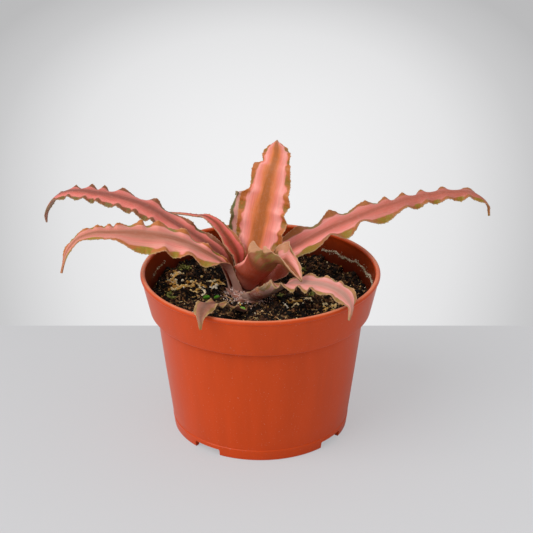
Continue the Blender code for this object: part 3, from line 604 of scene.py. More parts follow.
def pot_section():
    """The wall's section as (radius, height), from the foot's inside round the rim."""
    foot_inside = FOOT_RADIUS - FOOT_RING
    bead = BEAD / 2
    ledge = FOOT_LEDGE_Z
    outside = [
        (foot_inside - 1.2, FLOOR_BOTTOM_Z),
        (foot_inside, FLOOR_BOTTOM_Z - 1.2),
        (foot_inside, 0.5),
        *arc((foot_inside + 0.5, 0.5), 0.5, 210, 270, 3),
        *arc((FOOT_RADIUS - 0.6, 0.6), 0.6, 270, 350, 4),
        (outer_wall(ledge - 0.3), ledge - 0.3),
        (outer_wall(ledge) - FOOT_LEDGE_DEPTH, ledge),
        (outer_wall(ledge + 0.4) - FOOT_LEDGE_DEPTH * 0.7, ledge + 0.4),
        (outer_wall(30), 30),
        (outer_wall(BODY_TOP[1] - 4), BODY_TOP[1] - 4),
        (outer_wall(BODY_TOP[1] - 1.2), BODY_TOP[1] - 1.2),
        *arc((BODY_TOP[0] + 0.5, BODY_TOP[1] - 0.7), 0.7, 170, 95, 3),
        *arc((COLLAR_BOTTOM[0] - 1.1, COLLAR_BOTTOM[1] + 0.7), 1.1, -80, -8, 4),
        (COLLAR_BOTTOM[0] + 0.9, COLLAR_BOTTOM[1] + 4.5),
        (RIM_RADIUS - 0.95, POT_HEIGHT - 3.9),
        (RIM_RADIUS - 0.75, POT_HEIGHT - 3.1),
    ]
    lip = arc((RIM_RADIUS - bead, POT_HEIGHT - bead), bead, -62, 186, 20)
    inside = [
        (RIM_RADIUS - BEAD + 0.05, POT_HEIGHT - 2.6),
        (RIM_RADIUS - BEAD, POT_HEIGHT - 3.4),
        (inner_collar(COLLAR_BOTTOM[1] + 3), COLLAR_BOTTOM[1] + 3),
        (COLLAR_BOTTOM[0] - WALL, COLLAR_BOTTOM[1] + 1.6),
        (BODY_TOP[0] - WALL, BODY_TOP[1] - 1.6),
        (outer_wall(20) - WALL, 20),
        (outer_wall(FLOOR_BOTTOM_Z + WALL) - WALL, FLOOR_BOTTOM_Z + 2 * WALL),
        (outer_wall(FLOOR_BOTTOM_Z) - 2 * WALL, FLOOR_BOTTOM_Z + WALL),
    ]
    return outside + lip + inside


def polypropylene(name, colour, stained_and_shaded):
    """Injection-moulded polypropylene: even colour, a soft satin gloss from the tool.

    The melt leaves faint streaks up the wall. Inside, the wall is painted darker towards the
    bottom:
    painted shade of the pot's inside, partly a soil stain. Outside, a paler line along the top of
    the lip is a painted highlight.
    """
    made, tree, shader = new_material(name, IOR=1.49, Specular_IOR_Level=0.22)
    place = add_node(tree, "TexCoord", out="Object")
    height = add_node(tree, "SeparateXYZ", {0: place}, "Z")
    # Flow streaks, about 6 mm apart round the wall and many times as long.
    streak_place = add_node(tree, "Mapping", {"Vector": place, "Scale": (160, 160, 14)})
    streaks = add_node(tree, "TexNoise", {"Vector": streak_place, "Scale": 1.0, "Detail": 3.0})
    tone = add_node(tree, "MapRange", {0: streaks, 1: 0.3, 2: 0.7, 3: 0.95, 4: 1.05})
    base = add_node(tree, "HueSaturation", {"Color": (*colour, 1.0), "Value": tone})
    # Handling dust: soft grey specks, a few tenths of a millimetre across.
    specks = add_node(tree, "TexNoise", {"Vector": place, "Scale": 1400.0, "Detail": 1.0})
    dust = add_node(tree, "MapRange", {0: specks, 1: 0.68, 2: 0.8, 4: 0.22})
    layers = [(dust, "#C8B4A8")]
    if stained_and_shaded:
        # Painted shade of the pot's inside, partly a soil stain: its edge is ragged over 9 mm, and
        # it is darkest low down.
        rough_edge = {"Vector": place, "Scale": 190.0, "Detail": 6.0, "Roughness": 0.7}
        ragged = add_node(tree, "TexNoise", rough_edge)
        raised = add_node(tree, "Math", {0: ragged, 1: 9 * MM, 2: height}, operation="MULTIPLY_ADD")
        stain_and_painted_shade = add_node(tree, "MapRange", {0: raised, 1: 72.5 * MM, 2: 83 * MM, 3: 0.86, 4: 0.5})
        layers.append((stain_and_painted_shade, "#260803"))
    else:
        # A painted highlight: the top half millimetre of the lip is painted paler, broken up by
        # noise.
        top = {1: (POT_HEIGHT - 0.5) * MM, 2: (POT_HEIGHT - 0.05) * MM, 4: 0.7}
        highlight_noise = add_node(tree, "TexNoise", {"Vector": place, "Scale": 60.0, "Detail": 3.0})
        at_lip = add_node(tree, "MapRange", {0: height, **top})
        painted_lip_highlight = add_node(tree, "Math", {0: at_lip, 1: highlight_noise}, operation="MULTIPLY")
        layers.append((painted_lip_highlight, "#FFB48A"))
    for share, tint in layers:
        pair = {SHARE: share, FIRST: base, SECOND: tint}
        base = add_node(tree, "Mix", pair, MIXED, **COLOURS)
    # The gloss varies a little with the streaks, and the tool's fine texture breaks it up.
    gloss = add_node(tree, "MapRange", {0: streaks, 1: 0.3, 2: 0.7, 3: 0.3, 4: 0.38})
    grain = add_node(tree, "TexNoise", {"Vector": place, "Scale": 900.0, "Detail": 2.0})
    bump = add_node(tree, "Bump", {"Height": grain, "Strength": 0.25, "Distance": 0.00004})
    feed(tree, shader, Base_Color=base, Roughness=gloss, Normal=bump)
    return made


def foot_cutters():
    """Blocks for the foot's notches and rods for the drainage holes."""
    cutters = []
    holes = [(0.0, 0.0)]
    for index in range(NOTCHES):
        turn = math.radians(FIRST_NOTCH + index * 360 / NOTCHES)
        x, y = math.cos(turn) * MM, math.sin(turn) * MM
        holes.append((HOLE_CIRCLE * x, HOLE_CIRCLE * y))
        block = added(
            bpy.ops.mesh.primitive_cube_add,
            "notch_cutter",
            size=1,
            location=(FOOT_RADIUS * x, FOOT_RADIUS * y, (NOTCH_HEIGHT / 2 - 1) * MM),
            rotation=(0, 0, turn),
            scale=(4 * FOOT_RING * MM, NOTCH_WIDTH * MM, (NOTCH_HEIGHT + 2) * MM),
        )
        apply_modifier(block, "BEVEL", width=0.6 * MM, segments=3, limit_method="ANGLE")
        cutters.append(block)
    middle_z = (FLOOR_BOTTOM_Z + WALL / 2) * MM
    for x, y in holes:
        rod = added(
            bpy.ops.mesh.primitive_cylinder_add,
            "hole_cutter",
            vertices=40,
            radius=HOLE_RADIUS * MM,
            depth=4 * WALL * MM,
            location=(x, y, middle_z),
        )
        cutters.append(rod)
    return cutters


class EarthStarPot(bpy.types.PropertyGroup):
    """The nursery pot."""

    segments: bpy.props.IntProperty(
        name="Segments", description="Sides round the pot", default=160, min=48, max=256
    )
    colour: bpy.props.FloatVectorProperty(
        name="Plastic",
        description="Colour of the moulded plastic",
        subtype="COLOR",
        size=3,
        min=0.0,
        max=1.0,
        default=linear("#CC460E"),
    )


class EARTHSTAR_OT_pot(bpy.types.Operator):
    """Build the moulded pot with its rim bead, collar, notched foot and drainage holes"""

    bl_idname = "earth_star.pot"
    bl_label = "Pot"

    def execute(self, context):
        settings = context.scene.earth_star_pot
        pot = turned_shell("pot_moulding", settings.segments, pot_section(), fill="TRIFAN")
        for cutter in foot_cutters():
            apply_modifier(pot, "BOOLEAN", operation="DIFFERENCE", solver="EXACT", object=cutter)
            bpy.data.objects.remove(cutter, do_unlink=True)
        smooth(pot, 32)
        outer = polypropylene("moulded_polypropylene", settings.colour, False)
        # The inner wall's copy carries painted shade of the pot's inside, partly a soil stain.
        inner = polypropylene("moulded_polypropylene_stained_and_shaded", settings.colour, True)
        paint(pot, outer, inner)
        for face in pot.data.polygons:
            face.material_index = int(self.inner(face))
        settle(pot, "pot_plastic", "pot")
        return {"FINISHED"}

    def inner(self, face):
        """True for the faces of the inner wall under the lip."""
        middle = face.center / MM
        inward = face.normal.x * middle.x + face.normal.y * middle.y < 0
        return inward and FLOOR_BOTTOM_Z + 0.5 < middle.z < POT_HEIGHT - 1.6


# ---------------------------------------------------------------- the potting mix


# Size and rise of the surface's clods and crumbs.
CLODS = ((7.0, 0.9), (3.4, 0.9), (1.7, 0.6), (0.8, 0.3))
# Faces across the bed.
BED_FACES = 170
# The bed below its surface, down to the pot's floor: radius and height.
BED_SECTION = [(50.8, 62.8), (47.5, 58.0), (outer_wall(9) - WALL - 0.3, 9.0), (39.4, 6.4)]
PEAT_STOPS = [
    (0.0, "#070402"), (0.35, "#20110A"), (0.6, "#563420"), (0.82, "#9A6A42"), (1.0, "#E2BC84"),
]
DUST_STOPS = [
    (0.0, "#0A0502"), (0.35, "#281809"), (0.62, "#7C562C"), (0.85, "#D0A65C"), (1.0, "#F6E0AC"),
]
GRIT_STOPS = [(0.0, "#C08A3A"), (0.35, "#EDB95E"), (0.65, "#F6DCA0"), (1.0, "#FFF4DC")]
LIME_STOPS = [(0.0, "#7E6C4C"), (0.4, "#B8A888"), (1.0, "#F2E9D4")]
MOSS_STOPS = [(0.0, "#3A4010"), (0.5, "#848A34"), (1.0, "#D8D480")]
SCRAP_STOPS = [(0.0, "#3E7A14"), (1.0, "#7CBC34")]

# Clusters of yellow grit: x, y, spread and share.
GRIT_CLUSTERS = [
    (-41.5, 19.5, 1.4, 0.12), (-42.2, 9.5, 1.8, 0.16), (-37.5, 4.5, 2.4, 0.28),
    (-31.5, 3.0, 3.2, 0.14), (-22.0, 6.5, 3.6, 0.1), (18.5, -14.0, 3.0, 0.07),
    (33.0, -15.0, 3.0, 0.09), (-14.0, -13.0, 4.0, 0.04),
]
# Single round grains: x, y and radius.
ROUND_GRAINS = [
    (-28.6, 19.2, 0.75), (-40.6, 20.8, 0.8), (-43.4, 18.6, 0.65), (30.5, -17.5, 0.7),
    (-36.4, 4.4, 0.7),
]
# Tufts of moss and scraps of green leaf: x, y and size.
MOSS_PLACES = [
    (-38.7, 28.6, 2.6), (-36.0, 26.0, 1.6), (-43.5, -2.5, 1.8), (-42.0, -7.5, 2.4),
    (14.4, 22.7, 3.0), (20.8, 25.8, 1.8), (24.6, -2.3, 1.8), (9.8, -2.3, 1.4),
]
LEAF_SCRAPS = [(-25.4, -8.0, 3.0), (-20.4, -9.0, 2.6), (-8.8, -22.0, 3.2)]
TUFT_LEAVES = 80
# Height on the wall where water stood, and where its lime lies: directions in degrees and flakes.
WATER_LINE = 71.4
LIME_ARCS = ((-10, 55, 620), (148, 168, 50))


def soil_surface(x, y):
    """Height of the soil: a slight tilt, with lumps."""
    lumps = (
        np.sin(0.21 * x + 1.3) * np.cos(0.17 * y - 0.6)
        + 0.6 * np.sin(0.47 * x - 0.31 * y)
        + 0.4 * np.cos(0.36 * y + 0.53 * x + 2.0)
    )
    return SOIL_LEVEL + SOIL_TILT[0] * x + SOIL_TILT[1] * y + SOIL_ROUGHNESS * lumps


def value_noise(x, y, size, seed):
    """Smooth random heights, from -1 to 1, with bumps of about the given size."""
    cells = 64
    table = np.random.default_rng(seed).uniform(-1, 1, (cells, cells))
    # The shift keeps every place on the table's positive side.
    x, y = x / size + 500, y / size + 500
    left, low = np.floor(x).astype(int), np.floor(y).astype(int)
    across, up = ((share * share * (3 - 2 * share)) for share in (x - left, y - low))
    near, far = left % cells, (left + 1) % cells
    rows = [
        table[near, row] * (1 - across) + table[far, row] * across
        for row in (low % cells, (low + 1) % cells)
    ]
    return rows[0] * (1 - up) + rows[1] * up


def crumbly_surface(x, y):
    """Height of the potting mix with its clods and crumbs."""
    height = soil_surface(x, y)
    for seed, (size, rise) in enumerate(CLODS, start=1):
        height = height + rise * value_noise(x, y, size, seed)
    return height


def random_turns(rng, count):
    """Random turns about any axis, as matrices."""
    quaternions = rng.normal(size=(4, count))
    w, x, y, z = quaternions / np.linalg.norm(quaternions, axis=0)
    rows = [
        [1 - 2 * (y * y + z * z), 2 * (x * y - z * w), 2 * (x * z + y * w)],
        [2 * (x * y + z * w), 1 - 2 * (x * x + z * z), 2 * (y * z - x * w)],
        [2 * (x * z - y * w), 2 * (y * z + x * w), 1 - 2 * (x * x + y * y)],
    ]
    return np.moveaxis(np.array(rows), 2, 0)


def random_spins(rng, count):
    """Random turns about the vertical, as matrices."""
    spin = rng.uniform(0, 2 * math.pi, count)
    c, s, o, i = np.cos(spin), np.sin(spin), np.zeros(count), np.ones(count)
    return np.moveaxis(np.array([[c, -s, o], [s, c, o], [o, o, i]]), 2, 0)


def standing(turn, lean):
    """Turns that stand a piece up with its outer side to a direction, leaning outwards."""
    up = np.stack([np.cos(turn) * np.sin(lean), np.sin(turn) * np.sin(lean), np.cos(lean)], -1)
    side = np.stack([np.sin(turn), -np.cos(turn), 0 * turn], -1)
    return np.stack([side, np.cross(up, side), up], -1)


def angular_grain():
    """An angular grain of twenty faces and unit size, which grains are copied from."""
    grain = added(bpy.ops.mesh.primitive_ico_sphere_add, "grain", subdivisions=1, radius=1)
    edit_all()
    bpy.ops.transform.vertex_random(offset=0.28, seed=7)
    bpy.ops.object.mode_set(mode="OBJECT")
    return grain


def fibre_sliver():
    """A bent five-sided sliver of unit length, which bark fibres are copied from."""
    sliver = added(
        bpy.ops.mesh.primitive_cylinder_add,
        "sliver",
        vertices=5,
        radius=0.5,
        depth=1,
        rotation=(0, math.pi / 2, 0),
    )
    for share, bend in ((0.25, 0.05), (0.5, 0.14), (0.75, -0.08)):
        edit_all()
        bpy.ops.mesh.bisect(plane_co=(share - 0.5, 0, 0), plane_no=(1, 0, 0))
        bpy.ops.transform.translate(value=(0, bend, bend))
        bpy.ops.object.mode_set(mode="OBJECT")
    return sliver


def strewn(name, prototype, places, sizes, turns, tones, material, slot="potting_soil"):
    """Copies of a prototype in one piece, each at its place, size and turn, with a tone."""
    points = points_of(prototype)
    faces = [list(face.vertices) for face in prototype.data.polygons]
    bpy.data.objects.remove(prototype, do_unlink=True)
    count, corners = len(places), len(points)
    shaped = np.einsum("nij,nvj->nvi", turns, points[None] * sizes[:, None, :]) + places[:, None, :]
    copied = [[index + corners * copy for index in face] for copy in range(count) for face in faces]
    mesh = bpy.data.meshes.new(name)
    mesh.from_pydata((shaped.reshape(-1, 3) * MM).tolist(), [], copied)
    piece = bpy.data.objects.new(name, mesh)
    bpy.context.scene.collection.objects.link(piece)
    set_attribute(piece, "tone", np.repeat(tones, corners))
    paint(piece, material)
    settle(piece, slot)
    return piece


def scattered(rng, count, clusters=None):
    """Random places on the soil: anywhere, or around the middles of clusters."""
    if clusters is None:
        radius = SOIL_RADIUS * np.sqrt(rng.uniform(0, 1, count))
        turn = rng.uniform(0, 2 * math.pi, count)
        x, y = radius * np.cos(turn), radius * np.sin(turn)
    else:
        rows = np.array(clusters, float)
        picked = rows[rng.choice(len(rows), count, p=rows[:, 3] / rows[:, 3].sum())]
        x = picked[:, 0] + rng.normal(size=count) * picked[:, 2]
        y = picked[:, 1] + rng.normal(size=count) * picked[:, 2]
    inside = np.hypot(x, y) < SOIL_RADIUS - 0.5
    x, y = x[inside], y[inside]
    return np.stack([x, y, crumbly_surface(x, y)], -1)


def dryness(places):
    """How dry the mix is, from nearly black damp hollows to patches of dry crumbs."""
    x, y = places[:, 0], places[:, 1]
    patches = 0.62 + 0.75 * value_noise(x, y, 2.3, 8) + 0.35 * value_noise(x, y, 5.5, 9)
    return np.clip(patches, 0.12, 1.0)


def mixed_grains(name, stops, roughness, mottle_scale):
    """A dry, matt grain whose colour is picked by each grain's own tone."""
    made, tree, shader = new_material(name, Roughness=roughness, IOR=1.45, Specular_IOR_Level=0.3)
    place = add_node(tree, "TexCoord", out="Object")
    tone = add_node(tree, "Attribute", out="Fac", attribute_name="tone")
    picked = add_node(tree, "ValToRGB", {0: tone}, stops=stops)
    mottle = add_node(tree, "TexNoise", {"Vector": place, "Scale": mottle_scale, "Detail": 3.0})
    value = add_node(tree, "MapRange", {0: mottle, 1: 0.3, 2: 0.7, 3: 0.7, 4: 1.3})
    colour = add_node(tree, "HueSaturation", {"Color": picked, "Value": value})
    bump = add_node(tree, "Bump", {"Height": mottle, "Strength": 0.6, "Distance": 0.0002})
    feed(tree, shader, Base_Color=colour, Normal=bump)
    return made


class EarthStarSoil(bpy.types.PropertyGroup):
    """The potting mix."""

    seed: bpy.props.IntProperty(name="Seed", description="Changes where the grains lie", default=5)
    crumbs: bpy.props.IntProperty(
        name="Crumbs", description="Number of dark crumbs", default=9000, min=0
    )
    dust: bpy.props.IntProperty(
        name="Dust", description="Number of the finest fragments", default=10500, min=0
    )
    slivers: bpy.props.IntProperty(
        name="Slivers", description="Number of bark slivers", default=420, min=0
    )
    grit: bpy.props.IntProperty(
        name="Grit", description="Number of yellow grains", default=900, min=0
    )
    peat: bpy.props.FloatVectorProperty(
        name="Peat",
        description="Colour of the bed under the crumbs",
        subtype="COLOR",
        size=3,
        min=0.0,
        max=1.0,
        default=linear("#1C120C"),
    )


class EARTHSTAR_OT_soil(bpy.types.Operator):
    """Build the bed of potting mix, closed down to the pot's floor"""

    bl_idname = "earth_star.soil"
    bl_label = "Soil bed"

    def execute(self, context):
        settings = context.scene.earth_star_soil
        bed = added(
            bpy.ops.mesh.primitive_grid_add,
            "peat_bed",
            x_subdivisions=BED_FACES,
            y_subdivisions=BED_FACES,
            size=2,
        )
        square = points_of(bed)
        # The square grid is pressed into a disc.
        x = square[:, 0] * np.sqrt(1 - square[:, 1] ** 2 / 2) * SOIL_RADIUS
        y = square[:, 1] * np.sqrt(1 - square[:, 0] ** 2 / 2) * SOIL_RADIUS
        set_points(bed, np.stack([x, y, crumbly_surface(x, y)], -1) * MM)
        select_only(bed)
        edit_all()
        bpy.ops.mesh.region_to_loop()
        radius = SOIL_RADIUS
        for next_radius, next_z in BED_SECTION:
            bpy.ops.mesh.extrude_edges_move()
            share = next_radius / radius
            bpy.ops.transform.resize(value=(share, share, 0), center_override=(0, 0, next_z * MM))
            radius = next_radius
        bpy.ops.mesh.edge_face_add()
        bpy.ops.object.mode_set(mode="OBJECT")
        outward_normals(bed)
        smooth(bed, 60)
        paint(bed, self.peat(settings.peat))
        settle(bed, "potting_soil", "soil")
        return {"FINISHED"}

    def peat(self, colour):
        """Milled peat and bark: nearly black when damp, with brown and tan fragments."""
        made, tree, shader = new_material("milled_peat", Roughness=0.9, Specular_IOR_Level=0.25)
        place = add_node(tree, "TexCoord", out="Object")
        # Fragments about 1 mm across.
        cells = add_node(tree, "TexVoronoi", {"Vector": place, "Scale": 900.0}, out="Color")
        tone = add_node(tree, "SeparateXYZ", {0: cells})
        picked = add_node(tree, "ValToRGB", {0: tone}, stops=PEAT_STOPS)
        halves = {SHARE: 0.5, FIRST: picked, SECOND: (*colour, 1.0)}
        base = add_node(tree, "Mix", halves, MIXED, **COLOURS)
        grain = add_node(tree, "TexNoise", {"Vector": place, "Scale": 1400.0, "Detail": 4.0})
        bump = add_node(tree, "Bump", {"Height": grain, "Strength": 0.9, "Distance": 0.0004})
        feed(tree, shader, Base_Color=base, Normal=bump)
        return made


class EARTHSTAR_OT_dressing(bpy.types.Operator):
    """Strew the soil with crumbs, bark slivers, pale grit, moss and scraps of leaf"""

    bl_idname = "earth_star.dressing"
    bl_label = "Soil dressing"

    def execute(self, context):
        settings = context.scene.earth_star_soil
        rng = np.random.default_rng(settings.seed)
        self.crumbs(rng, settings.crumbs)
        self.dust(rng, settings.dust)
        self.slivers(rng, settings.slivers)
        self.grit(rng, settings.grit)
        self.moss(rng)
        self.leaf_scraps(rng)
        self.lime_crust(rng)
        return {"FINISHED"}

    def crumbs(self, rng, count):
        """Angular crumbs of peat, the larger ones damp and dark, the smaller ones drier."""
        places = scattered(rng, count)
        count = len(places)
        sizes = np.exp(rng.normal(-0.78, 0.48, count))[:, None] * rng.uniform(0.6, 1.3, (count, 3))
        sizes = np.clip(sizes, 0.16, 1.5)
        places[:, 2] += 0.3 * sizes[:, 2]
        damp = np.clip(1.3 - 0.5 * sizes.mean(axis=1), 0.5, 1)
        tones = rng.uniform(0, 1, count) * damp * dryness(places)
        turns = random_turns(rng, count)
        material = mixed_grains("peat_crumb", PEAT_STOPS, 0.88, 1500.0)
        strewn("peat_crumbs", angular_grain(), places, sizes, turns, tones, material)

    def dust(self, rng, count):
        """The finest fragments, some straw coloured, each a small pyramid."""
        grain = added(
            bpy.ops.mesh.primitive_cone_add,
            "dust_grain",
            vertices=4,
            radius1=1,
            depth=1,
            location=(0, 0, 0.5),
        )
        places = scattered(rng, count)
        count = len(places)
        sizes = rng.uniform(0.12, 0.42, (count, 3))
        places[:, 2] += 0.4 + rng.uniform(0, 0.4, count)
        tones = rng.uniform(0, 1, count) * dryness(places)
        material = mixed_grains("straw_dust", DUST_STOPS, 0.85, 1500.0)
        strewn("peat_dust", grain, places, sizes, random_turns(rng, count), tones, material)

    def slivers(self, rng, count):
        """Slivers of shredded bark that lie flat and keep clear of the wall."""
        places = scattered(rng, count)
        length = rng.uniform(1.6, 6.5, len(places))
        clear = np.hypot(places[:, 0], places[:, 1]) + length / 2 < SOIL_RADIUS - 0.3
        places, length = places[clear], length[clear]
        count = len(places)
        thick = rng.uniform(0.25, 0.6, (count, 2))
        sizes = np.concatenate([length[:, None], thick], axis=1)
        places[:, 2] += 0.5
        tones = rng.uniform(0.35, 1, count)
        turns = random_spins(rng, count)
        material = mixed_grains("shredded_bark", PEAT_STOPS, 0.85, 1200.0)
        strewn("bark_slivers", fibre_sliver(), places, sizes, turns, tones, material)

    def grit(self, rng, count):
        """Yellow grit, washed together into short strings, with a few round grains."""
        steps = 9
        heads = scattered(rng, count // steps, GRIT_CLUSTERS)[:, :2]
        turn = rng.uniform(0, 2 * math.pi, len(heads))
        strings = []
        for _ in range(steps):
            strings.append(heads.copy())
            turn += rng.normal(size=len(heads)) * 0.8
            heads += 0.5 * np.stack([np.cos(turn), np.sin(turn)], -1)
        tone = np.tile(rng.uniform(0, 1, len(heads)), steps)
        stray = scattered(rng, count // 3)[:, :2]
        rounded = np.array(ROUND_GRAINS)
        x, y = np.concatenate([*strings, stray, rounded[:, :2]]).T
        washed = np.exp(rng.normal(-0.85, 0.25, len(tone)))
        strayed = np.exp(rng.normal(-1.3, 0.35, len(stray)))
        radius = np.concatenate([washed, strayed, rounded[:, 2]])
        tones = np.concatenate([tone, rng.uniform(0, 1, len(stray)), np.full(len(rounded), 0.42)])
        places = np.stack([x, y, crumbly_surface(x, y) + 0.8 + 0.5 * radius], -1)
        sizes = radius[:, None] * rng.uniform(0.75, 1.15, (len(places), 3))
        turns = random_turns(rng, len(places))
        material = mixed_grains("limestone_grit", GRIT_STOPS, 0.75, 1800.0)
        strewn("pale_grit", angular_grain(), places, sizes, turns, tones, material)

    def moss(self, rng):
        """Tufts of moss, made of many tiny flat leaves."""
        rows = np.array(MOSS_PLACES)
        spread = rows[:, [2]] * 0.4
        tuft = (len(rows), TUFT_LEAVES)
        x = (rows[:, [0]] + rng.normal(size=tuft) * spread).ravel()
        y = (rows[:, [1]] + rng.normal(size=tuft) * spread).ravel()
        places = np.stack([x, y, crumbly_surface(x, y) + rng.uniform(0.4, 1.6, len(x))], -1)
        sizes = rng.uniform(0.25, 0.6, (len(places), 3)) * [1.0, 0.6, 0.25]
        tones = rng.uniform(0, 1, len(places))
        turns = random_turns(rng, len(places))
        material = mixed_grains("living_moss", MOSS_STOPS, 0.75, 1500.0)
        strewn("moss_tufts", angular_grain(), places, sizes, turns, tones, material)

    def leaf_scraps(self, rng):
        """Small cupped scraps of green leaf, narrower to one end."""
        sphere_add = bpy.ops.mesh.primitive_uv_sphere_add
        scrap = added(sphere_add, "scrap", segments=16, ring_count=8, radius=1)
        points = points_of(scrap)
        cup = 0.4 * points[:, 0] ** 2 + 0.9 * np.abs(points[:, 1]) ** 1.4
        points[:, 2] = 0.1 * points[:, 2] + cup
        points[:, 1] *= 0.6 * (1 - 0.45 * points[:, 0])
        set_points(scrap, points)
        x, y, size = np.array(LEAF_SCRAPS).T
        places = np.stack([x, y, crumbly_surface(x, y) + 0.9], -1)
        sizes = np.repeat(size[:, None] * 0.6, 3, axis=1)
        turns = random_spins(rng, len(places))
        tones = rng.uniform(0, 1, len(places))
        material = mixed_grains("fresh_leaf_scrap", SCRAP_STOPS, 0.5, 700.0)
        smooth(strewn("leaf_scraps", scrap, places, sizes, turns, tones, material))

    def lime_crust(self, rng):
        """A thin crust of lime where water stood, mostly on the right of the inner wall."""
        turn = np.radians(np.concatenate([rng.uniform(*lime_arc) for lime_arc in LIME_ARCS]))
        ripples = 0.5 * np.sin(5 * turn) + 0.5 * np.sin(17 * turn) + 0.3 * np.sin(41 * turn)
        count = len(turn)
        # Most flakes keep near the water line, and the rest lie further off.
        stray = rng.normal(size=count) * np.where(rng.uniform(0, 1, count) < 0.85, 0.28, 1.1)
        z = WATER_LINE + ripples + stray
        radius = inner_collar(z) - 0.12
        places = np.stack([radius * np.cos(turn), radius * np.sin(turn), z], -1)
        sizes = np.exp(rng.normal(-1.5, 0.35, count))[:, None] * rng.uniform(0.6, 1.3, (count, 3))
        turns, tones = random_turns(rng, count), rng.uniform(0, 1, count)
        material = mixed_grains("lime_scale", LIME_STOPS, 0.8, 1800.0)
        sizes = np.clip(sizes, 0.08, 0.5)
        strewn("lime_crust", angular_grain(), places, sizes, turns, tones, material, "pot_plastic")


# ---------------------------------------------------------------- the leaves


def even_stations(points, count):
    """Evenly spaced points on a smooth curve through the given ones (Catmull-Rom)."""
    given = np.array(points, float)
    given = np.vstack([2 * given[0] - given[1], given, 2 * given[-1] - given[-2]])
    dense = []
    for index in range(1, len(given) - 2):
        p0, p1, p2, p3 = given[index - 1 : index + 3]
        t1 = np.linalg.norm(p1 - p0) ** 0.5
        t2 = t1 + np.linalg.norm(p2 - p1) ** 0.5
        t3 = t2 + np.linalg.norm(p3 - p2) ** 0.5
        t = np.linspace(t1, t2, 40, endpoint=False)[:, None]
        a1 = (t1 - t) / t1 * p0 + t / t1 * p1
        a2 = (t2 - t) / (t2 - t1) * p1 + (t - t1) / (t2 - t1) * p2
        a3 = (t3 - t) / (t3 - t2) * p2 + (t - t2) / (t3 - t2) * p3
        b1 = (t2 - t) / t2 * a1 + t / t2 * a2
        b2 = (t3 - t) / (t3 - t1) * a2 + (t - t1) / (t3 - t1) * a3
        dense.append((t2 - t) / (t2 - t1) * b1 + (t - t1) / (t2 - t1) * b2)
    dense.append(given[-2:-1])
    curve = np.vstack(dense)
    lengths = np.r_[0, np.cumsum(np.linalg.norm(np.diff(curve, axis=0), axis=1))]
    wanted = np.linspace(0, lengths[-1], count)
    return np.stack([np.interp(wanted, lengths, curve[:, axis]) for axis in range(3)], -1)


def eased(table, t):
    """A smooth curve through a table's rows that never overshoots them."""
    x, y = np.array(table, float).T
    widths = np.diff(x)
    slopes = np.diff(y) / widths
    before, after = np.r_[slopes[0], slopes], np.r_[slopes, slopes[-1]]
    product = before * after
    total = np.where(before + after == 0, 1, before + after)
    tangents = np.where(product > 0, 2 * product / total, 0)
    index = np.clip(np.searchsorted(x, t, side="right") - 1, 0, len(widths) - 1)
    s, width = (t - x[index]) / widths[index], widths[index]
    rise = y[index] * (1 + 2 * s) * (1 - s) ** 2 + y[index + 1] * s * s * (3 - 2 * s)
    return rise + width * s * (1 - s) * (tangents[index] * (1 - s) - tangents[index + 1] * s)


def margin_wave(knots, t):
    """From -1 to 1 and back between the knots, with narrow crests and round troughs."""
    phase = np.interp(t, knots, np.arange(len(knots)))
    return 1 - 2 * ((1 + np.cos(math.pi * phase)) / 2) ** CREST_SHARPNESS


def halves(table):
    """The left and the right table of a leaf: a pair, or one table for both."""
    return table if isinstance(table, tuple) else (table, table)


def leaf_axes(leaf, midrib, t):
    """Unit vectors along each station's right side and out of its upper face."""
    along = np.gradient(midrib, axis=0)
    along /= np.linalg.norm(along, axis=1)[:, None]
    azimuth = np.radians(eased(leaf["azimuth"], t))
    side = np.stack([np.sin(azimuth), -np.cos(azimuth), 0 * t], -1)
    side -= along * np.sum(side * along, axis=1)[:, None]
    side /= np.linalg.norm(side, axis=1)[:, None]
    up = np.cross(side, along)
    roll = np.radians(eased(leaf["roll"], t))[:, None]
    return side * np.cos(roll) + up * np.sin(roll), up * np.cos(roll) - side * np.sin(roll)


def leaf_sheet(leaf, t, across):
    """The leaf's middle surface: a grid of points, along it and from left to right."""
    midrib = even_stations(leaf["midrib"], len(t))
    side, up = leaf_axes(leaf, midrib, t)
    columns = []
    for u in across:
        half = 1 if u > 0 else 0
        width = eased(halves(leaf["half_width"])[half], t) * abs(u)
        bend = np.radians(eased(halves(leaf["cup"])[half], t)) * abs(u)
        safe = np.where(np.abs(bend) < 1e-4, 1e-4, bend)
        outward = width * np.sin(safe) / safe
        upward = width * (1 - np.cos(safe)) / safe
        wave = margin_wave(leaf["right" if half else "left"], t)
        lift = eased(halves(leaf["ruffle"])[half], t) * wave * abs(u) ** RUFFLE_SPREAD
        sign = 1 if u > 0 else -1
        sideways = (sign * (outward - lift * np.sin(bend)))[:, None]
        columns.append(midrib + side * sideways + up * (upward + lift * np.cos(bend))[:, None])
    return np.stack(columns, 1)
